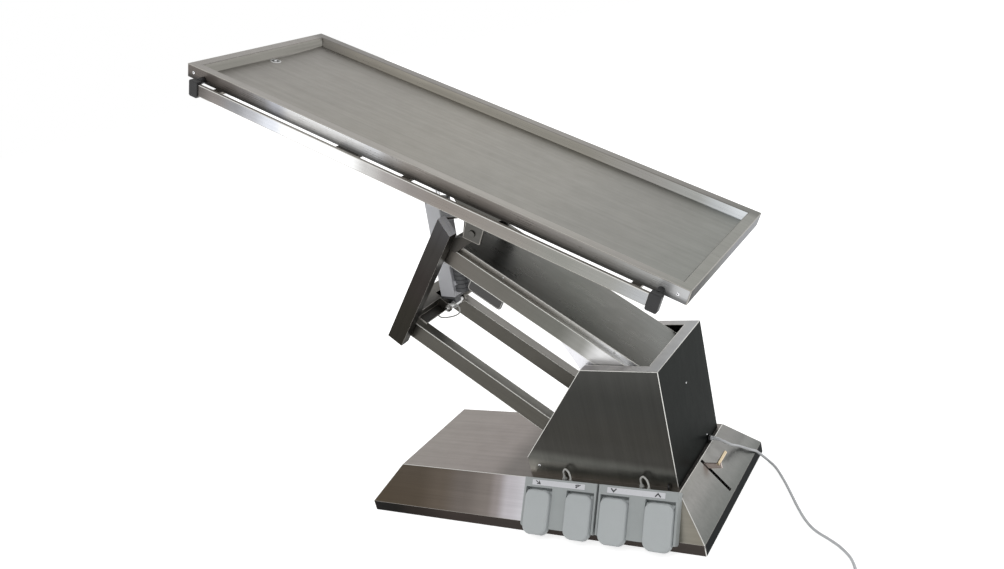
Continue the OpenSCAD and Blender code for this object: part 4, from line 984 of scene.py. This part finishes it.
# Feet
FOOT = [(19, 0), (20, 0.8), (20, 3), (19.2, 3.6), (20, 4.2), (19, 9), (16, 10.6)]
feet = Piece("rubber_feet", [RUBBER, BRIGHT])
for x in (-430, 430):
    for y in (-200, 200):
        feet.turn(FOOT, (x, y, 0), steps=36)
        feet.turn([(9, 10.4), (9, 12)], (x, y, 0), mat=1, steps=24)
feet.done("base", SLOT["base_feet"], ("base_feet",))

# Pivots and masts
nuts = Piece("pivot_retainers", [BRIGHT])
for p in (LOWER_BASE, UPPER_BASE):
    for y in (-1, 1):
        nuts.turn([(14, 0), (15, 0.6), (15, 2.4), (14, 3.0)], (p.x, y * 125.9, p.z), (0, y, 0))
        nuts.nut((p.x, y * 128.9, p.z), (0, y, 0), 10.5, 3.0)
nuts.done("base")
mast = Piece("mast_fixings", [BRIGHT, BLACK, BRACKET_DIM])
for x in (160, 230, 300, 375):
    for y in (-1, 1):
        mast.screw((x, 133.4 * y, 126), Z, 4.2, 3.0)
for y in (-1, 1):
    mast.bead((142, 126.6 * y, 127), (396, 126.6 * y, 127), 1.8, 2)
mast.done("base")

# Hood


def hood_paint(n, c):
    if n.z > 0.9 and c.z > 426:
        return 2
    if n.y < -0.9 and c.y < -147.5:
        return 0
    if n.x > 0.9 and c.x > 420.8:
        return 1
    return 4 if n.y > 0.9 and c.y > 147.5 else 3


def hood_edges(c, e):
    if not e.is_convex:
        return None
    if c.y < -147 and (c.z > 427 or c.x > 420.5):
        return (5, 2.0)
    if c.y < -147 and c.z > 121 and c.x < 226:
        return (6, 1.0)
    if c.z > 427:
        return (6, 1.2)
    return (6, 1.4) if c.x > 420.5 and c.z > 121 else None


dress("hood", "hood_shell", [HOOD_FRONT, HOOD_RIGHT, HOOD_RIM, HOOD_IN, HOOD_BACK, EDGE, SOFT_EDGE],
      hood_paint, hood_edges)
screws("hood_screw_heads", CHROME, Matrix(), "base", [
    ((43, 148 * y, 148), (0, y, 0), 4.0, 1.9) for y in (-1, 1)] + [
    ((421.3 + (z - 120) * 3.9 / 308, y, z), (1, 0, -0.0127), 2.4, 1.5) for y, z in ((-2, 327), (72, 141))],
    ("hood_screws",))

# Pieces that only need their edges rounded: node, piece, width, finishes
for place, rows in (
        (TABLE, (("drain_fitting", "drain_pipe", 0.8, BRIGHT),
                 ("rail_brackets", "rail_hangers", 1.0, TABLE_BODY, SOFT_EDGE),
                 ("table_frame", "table_subframe", 1.2, FRAME_STEEL, SOFT_EDGE),
                 ("tilt_ears", "tilt_ear_plates", 0.9, EAR, SOFT_EDGE),
                 ("tilt_head_pin", "tilt_rod_pin", 0.9, BRIGHT))),
        (UPPER_ARM, (("upper_arm_bushes", "upper_bushes", 0.7, BRONZE),
                     ("lift_gussets", "lift_gusset_plates", 0.9, BRACKET, EDGE),
                     ("lift_gusset_pin", "lift_rod_pin", 1.0, BRIGHT))),
        (LOWER_ARM, (("lower_arm_bushes", "lower_bushes", 0.7, BRONZE),)),
        (HEAD, (("head_cross_tube", "head_cross_beam", 1.2, BRACKET_DIM, SOFT_EDGE),
                ("head_cheeks", "head_cheek_plates", 0.9, CHEEK),
                ("head_pivot_pins", "head_pins", 0.9, BRIGHT),
                ("tilt_foot_bracket", "tilt_foot_plates", 0.8, BRACKET_DIM, SOFT_EDGE),
                ("tilt_foot_pin", "tilt_tube_pin", 0.9, BRIGHT))),
        (Matrix.Translation(TILT_AXIS), (("tilt_shaft", "tilt_axle", 1.2, EAR),)),
        (Matrix(), (("base_frame", "base_chassis", 1.0, DARK_STEEL, SOFT_EDGE),
                    ("mast_plates", "mast_sides", 1.0, PLATE, SOFT_EDGE),
                    ("base_pivot_shafts", "base_pivots", 1.4, BRIGHT),
                    ("lift_foot_bracket", "lift_foot_plates", 0.8, BRACKET_DIM, SOFT_EDGE),
                    ("lift_foot_pin", "lift_tube_pin", 0.9, BRIGHT),
                    ("pedal_pins", "treadle_pins", 0.5, BRIGHT)))):
    for node, name, wide, *mats in rows:
        dress(node, name, mats, wide=wide, place=place)

# Fold lines along the sheet edges: thin tubes on the real folds, bright to paint their highlights


def fold(name, body, place, lines, mat=EDGE):
    """Thin bright lines along folded edges, painted highlights; each has a radius and its points."""
    f = Piece(name, [mat], place)
    for r, *points in lines:
        f.tube(points, r, 0, 8)
    f.done(body)


HOOD_TOP = 427.3
fold("hood_folds", "base", Matrix(), [
    (1.4, (225, -147.4, HOOD_TOP), (424.6, -147.4, HOOD_TOP)),
    (1.0, (424.7, -147.5, HOOD_TOP), (421.0, -147.5, 121)),
    (0.9, (12, -147.5, 170), (224.6, -147.5, 427.2)),
    (1.0, (424.6, -147.4, HOOD_TOP), (424.6, 147.4, HOOD_TOP)),
    (0.9, (225.6, -120.4, 427.6), (394, -120.4, 427.6)),
    (0.9, (394, -120.4, 427.6), (394, 120, 427.6))])
fold("base_folds", "base", Matrix(), [
    (1.3, (430, -165.2, 119.3), (500, -233.4, 31.4), (500.3, -233.8, 2.6)),
    (0.9, (-414.6, -165.2, 119.4), (430, -165.2, 119.4)),
    (0.9, (429.7, -165.2, 119.4), (429.7, 165.2, 119.4)),
    (0.9, (-415, -165.2, 119.4), (-500.2, -233.8, 31.4), (-500.4, -233.9, 2.6))])
end, side = TOP_X - 0.6, TOP_Y - 0.6
fold("tabletop_folds", "table", TABLE, [
    (1.1, (-end, -side, -0.7), (end, -side, -0.7)), (1.0, (end, -side, -0.7), (end, side, -0.7)),
    (0.8, (-end, -side, -0.7), (-end, side, -0.7)), (0.8, (-end, side, -0.7), (end, side, -0.7)),
    (1.6, (end - 0.2, 0.2 - side, -0.8), (end - 0.2, 0.2 - side, -33.4))], SOFT_EDGE)
fold("rail_folds", "table", TABLE, [
    (0.8, (-626, 290.4 * y, -55.4), (626, 290.4 * y, -55.4)) for y in (-1, 1)], SOFT_EDGE)
for arm, place in (("upper", UPPER_ARM), ("lower", LOWER_ARM)):
    fold(arm + "_arm_folds", arm + "_arms", place, [
        (r, (-622, y * side, z), (22, y * side, z)) for side in (-1, 1)
        for r, y, z in ((1.2, 116.3, 23.3), (0.9, 116.3, -23.3), (0.9, 86.7, 23.3))], ARM_LINE)
fold("cover_folds", "upper_arms", UPPER_ARM, [
    (1.3, (-567, -106.0, 37.4), (18, -106.0, 37.4)), (1.0, (-589, -83, 37.4), (-589, 83, 37.4)),
    (1.1, (-567, 106.0, 37.4), (18, 106.0, 37.4))], ARM_LINE)
fold("ear_folds", "table", TABLE, [
    (0.9, (106.6, -132.6, -192.4), (106.6, -132.6, -146)),
    (0.9, (154.6, -132.6, -192.4), (157.6, -132.6, -140)),
    (0.9, (106.6, -132.6, -192.6), (154.6, -132.6, -192.6))], SOFT_EDGE)

# Pedals


def rounded_ring(x0, x1, y0, y1, r, z, steps=5):
    """A rectangle in x and y with round corners."""
    ring = []
    corners = ((x1 - r, y1 - r), (x0 + r, y1 - r), (x0 + r, y0 + r), (x1 - r, y0 + r))
    for quarter, (x, y) in enumerate(corners):
        for k in range(steps + 1):
            a = math.radians(90 * quarter + 90 * k / steps)
            ring.append((x + r * math.cos(a), y + r * math.sin(a), z))
    return ring


def housing_edges(c, e):
    if not e.is_convex or c.z <= 1 or (abs(e.verts[0].co.x) <= 13 and c.z <= 20):
        return None
    return (0, 2.6 if c.z > 20 else 1.2)


def bulged(p, x0):
    """A place on a pad, moved out by up to 5 mm along the pad's rounded toe."""
    x, y, z = p
    toe = min(max((-90 - y) / 40, 0), 1)
    return x, y - 5 * toe * (1 - ((x - x0 - PAD_WIDE / 2) / (PAD_WIDE / 2)) ** 2), z


PAD_WIDE, PAD_TOE, PAD_HEEL = 74, -138, -29
# How far in from a pad's outline each of its levels lies, and how high
PAD_LEVELS = ((1.4, 12), (0.2, 13.4), (0, 16), (0, 20.4), (0.9, 21), (0.9, 25.4), (1.6, 27.6), (3.2, 29.3),
              (5.6, 30), (10, 30.1), (18, 30.0), (30, 29.8))
for side, x in PEDALS:
    node = side + "_pedal_housing"
    dress(node, node + "_shell", [HOUSING], None, housing_edges, segs=3, place=front_slope(x))
for drive, (_, x) in zip(("tilt", "lift"), PEDALS):
    for side, x0 in (("left", -96), ("right", 22)):
        node = f"{drive}_treadle_{side}"
        pad = Piece(node + "_pad", [TREADLE, BLACK], front_slope(x))
        rings = [rounded_ring(x0 + inset, x0 + PAD_WIDE - inset, PAD_TOE + inset, PAD_HEEL - inset,
                              max(19 - inset * 0.6, 3), z, 8) for inset, z in PAD_LEVELS]
        pad.loft([[bulged(p, x0) for p in ring] for ring in rings])
        pad.turn([(6, 0), (6, 72)], (x0 + 1, -36, 12), X, 0, 28)
        pad.turn([(3.4, -0.4), (4.2, 0), (4.2, 0.5)], (x0 + 0.6, -36, 12), X, 1, 20)
        pad.done(body_of(node), "grey_plastic", (node,))

# Labels; each stroke of an arrow is a width and its points
labels = Piece("pedal_label_films", [FILM, INK])
ARROWS = (((2.2, (-70, -8.0), (-58, -14.8)), (2.2, (-66, -14.6), (-57.6, -14.8), (-61, -8.4)),
           (2.2, (58, -8.2), (46, -14.6)), (2.2, (53, -8.0), (45.4, -9.2), (48, -15))),
          ((3.2, (-69.5, -8.4), (-63.5, -14.6), (-57.5, -8.4)),
           (3.2, (46.5, -14.8), (52.5, -8.6), (58.5, -14.8))))
for (_, x), arrows in zip(PEDALS, ARROWS):
    at = front_slope(x)
    labels.loft([rounded_ring(-81, 71, -18.5, -5, 1.6, z) for z in (22, 22.45, 22.6)], 0, at)
    for wide, *points in arrows:
        for a, b in zip(points, points[1:]):
            a, b = Vector((*a, 22.62)), Vector((*b, 22.62))
            t = (b - a).normalized() * wide / 2
            s = Vector((-t.y, t.x, 0))
            low = [a - t - s, b + t - s, b + t + s, a - t + s]
            labels.loft([low, [p + Vector((0, 0, 0.16)) for p in low]], 1, at)
labels.done("base", "label_film", ("pedal_labels",))
glands = Piece("pedal_lead_glands", [GLAND, BLACK])
for _, x in PEDALS:
    at = Vector((x - 3.5, -157, BASE_HIGH))
    glands.nut(at, Z, 6.9, 3.4)
    glands.turn([(5.6, 3.4), (5.4, 4.4), (4.2, 6.2), (3.2, 8.6), (2.8, 10.5)], at, steps=24)
    tip = at + Vector((26, -16.2, 6.7))
    glands.turn([(4.4, -1.2), (4.4, 0.6), (3.4, 2.0), (2.8, 4.4)], tip, (0, -0.3, 1), steps=20)
glands.done("base", "grey_plastic", ("pedal_glands",))

# The castors' lever
PIVOT = Vector((350, 0, 94))
swing = turned_y(-4.5, PIVOT)
CRANK_END = Vector((400, 0, 33))


def half_circle(at, start):
    """Half a circle of 12 mm in x and z."""
    turns = [start + math.pi * k / 10 for k in range(11)]
    return [(at.x + 12 * math.cos(a), at.z + 12 * math.sin(a)) for a in turns]


lever = Piece("castor_lever_bar", [LEVER, BRIGHT, DARK_STEEL, LEVER_BAR])
bar = [swing @ Vector((x, 0, z)) for x, z in ((0, -10), (66, -10), (86, -5), (134, -3.5), (134, 10), (0, 10))]
lever.plate([(p.x, p.z) for p in bar], -17.5, -12.5, 0.9, 3)
lever.turn([(3.5, -19), (4.5, -18), (4.5, 39), (3.5, 40)], swing @ Vector((127, 0, 9)), Y, 0, 28)
lever.bead(swing @ Vector((120, -11.8, 6.5)), swing @ Vector((133, -11.8, 6.5)), 1.3)
lever.turn([(7.2, -168), (8, -167), (8, 167), (7.2, 168)], PIVOT, Y, 1)
down = math.atan2(CRANK_END.z - PIVOT.z, CRANK_END.x - PIVOT.x)
crank = half_circle(PIVOT, down + math.pi / 2) + half_circle(CRANK_END, down - math.pi / 2)
for y in (-1, 1):
    lever.plate(crank, *sorted((126 * y, 132 * y)), 0.8, 2)
lever.done("castor_lever", "lever_steel", ("castor_lever",))

# Wheels
WHEEL_MIDDLE = 150
half = [(8, 140), (8.6, 140.4), (12, 141.4), (15.4, 141.4), (16.2, 140.4), (18.6, 140.2), (20, 142)]
for node, x, z, end in (("left_wheelset", -400, 22, 185), ("right_wheelset", 400, 33, 165)):
    w = Piece(node + "_wheels", [NYLON, BRIGHT], Matrix.Translation((x, 0, z)))
    w.turn([(5.4, -end), (6, -end + 0.8), (6, end - 0.8), (5.4, end)], towards=Y, mat=1, steps=28)
    for y in (-1, 1):
        w.turn(half + [(r, 2 * WHEEL_MIDDLE - at) for r, at in half[::-1]], towards=(0, y, 0), steps=40)
        w.turn([(7.4, 138.4), (7.9, 139), (7.9, 139.8)], towards=(0, y, 0), mat=1, steps=24)
        w.turn([(7.9, 160.2), (7.9, 161), (7.4, 161.6)], towards=(0, y, 0), mat=1, steps=24)
    w.done(body_of(node), "wheel_nylon", (node,))

# Floor, backdrop and light
WHITE = (1, 1, 1, 1)
# The floor's glow is cut off by position under the base: painted shade there, over the real shadow that the
# base casts.
UNDER_BASE = ((0, 0.49), (1, 0.222))  # axis and half size, in metres, of the floor that has no glow
n = Nodes(bpy.data.materials.new("studio_floor"))
paper = n.new("BsdfDiffuse")
n.feed(paper, Color=n.tinted(linear((232, 232, 232)), n.span(n.noise(3.0), 0, 1, 0.99, 1.01)))
apart = n.feed(n.new("SeparateXYZ"), Vector=n.where()).outputs
away = [n.maths("DIVIDE", n.maths("ABSOLUTE", apart[axis], 0), reach) for axis, reach in UNDER_BASE]
open_floor = n.span(n.maths("MAXIMUM", *away), 0.97, 1.0, 0.0, 0.72)
glow = n.feed(n.new("Emission"), Color=WHITE, Strength=n.maths("MULTIPLY", n.plainly_seen(), open_floor))
both = n.new("AddShader")
n.put(both.inputs[0], paper.outputs[0])
n.put(both.inputs[1], glow.outputs[0])
me = bpy.data.meshes.new("floor")
b = bmesh.new()
bmesh.ops.create_grid(b, x_segments=8, y_segments=8, size=40)
b.to_mesh(me)
b.free()
me.materials.append(n.output("OutputMaterial", both.outputs[0]))
floor = bpy.data.objects.new("floor", me)
scene.collection.objects.link(floor)
floor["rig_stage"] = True

scene.world = bpy.data.worlds.new("studio")
n = Nodes(scene.world)
sky = n.feed(n.new("Background"), Color=WHITE, Strength=n.span(n.plainly_seen(), 0, 1, 0.86, 1.0))
n.output("OutputWorld", sky.outputs[0])


def lamp(name, at, towards, size, power):
    data = bpy.data.lights.new(name, "AREA")
    data.shape = "RECTANGLE"
    data.size, data.size_y = size
    data.energy = power
    ob = bpy.data.objects.new(name, data)
    ob.location = at
    ob.rotation_mode = "QUATERNION"
    ob.rotation_quaternion = (Vector(towards) - Vector(at)).to_track_quat("-Z", "Y")
    scene.collection.objects.link(ob)


lamp("key", (-1.6, -3.2, 3.6), (0, 0, 0.6), (2.6, 2.0), 6)
lamp("fill", (3.4, -1.6, 2.6), (0.2, 0, 0.5), (2.4, 2.4), 3)
lamp("rim", (0.4, 3.4, 3.2), (0, 0, 0.8), (3.0, 1.6), 4)

low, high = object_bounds()
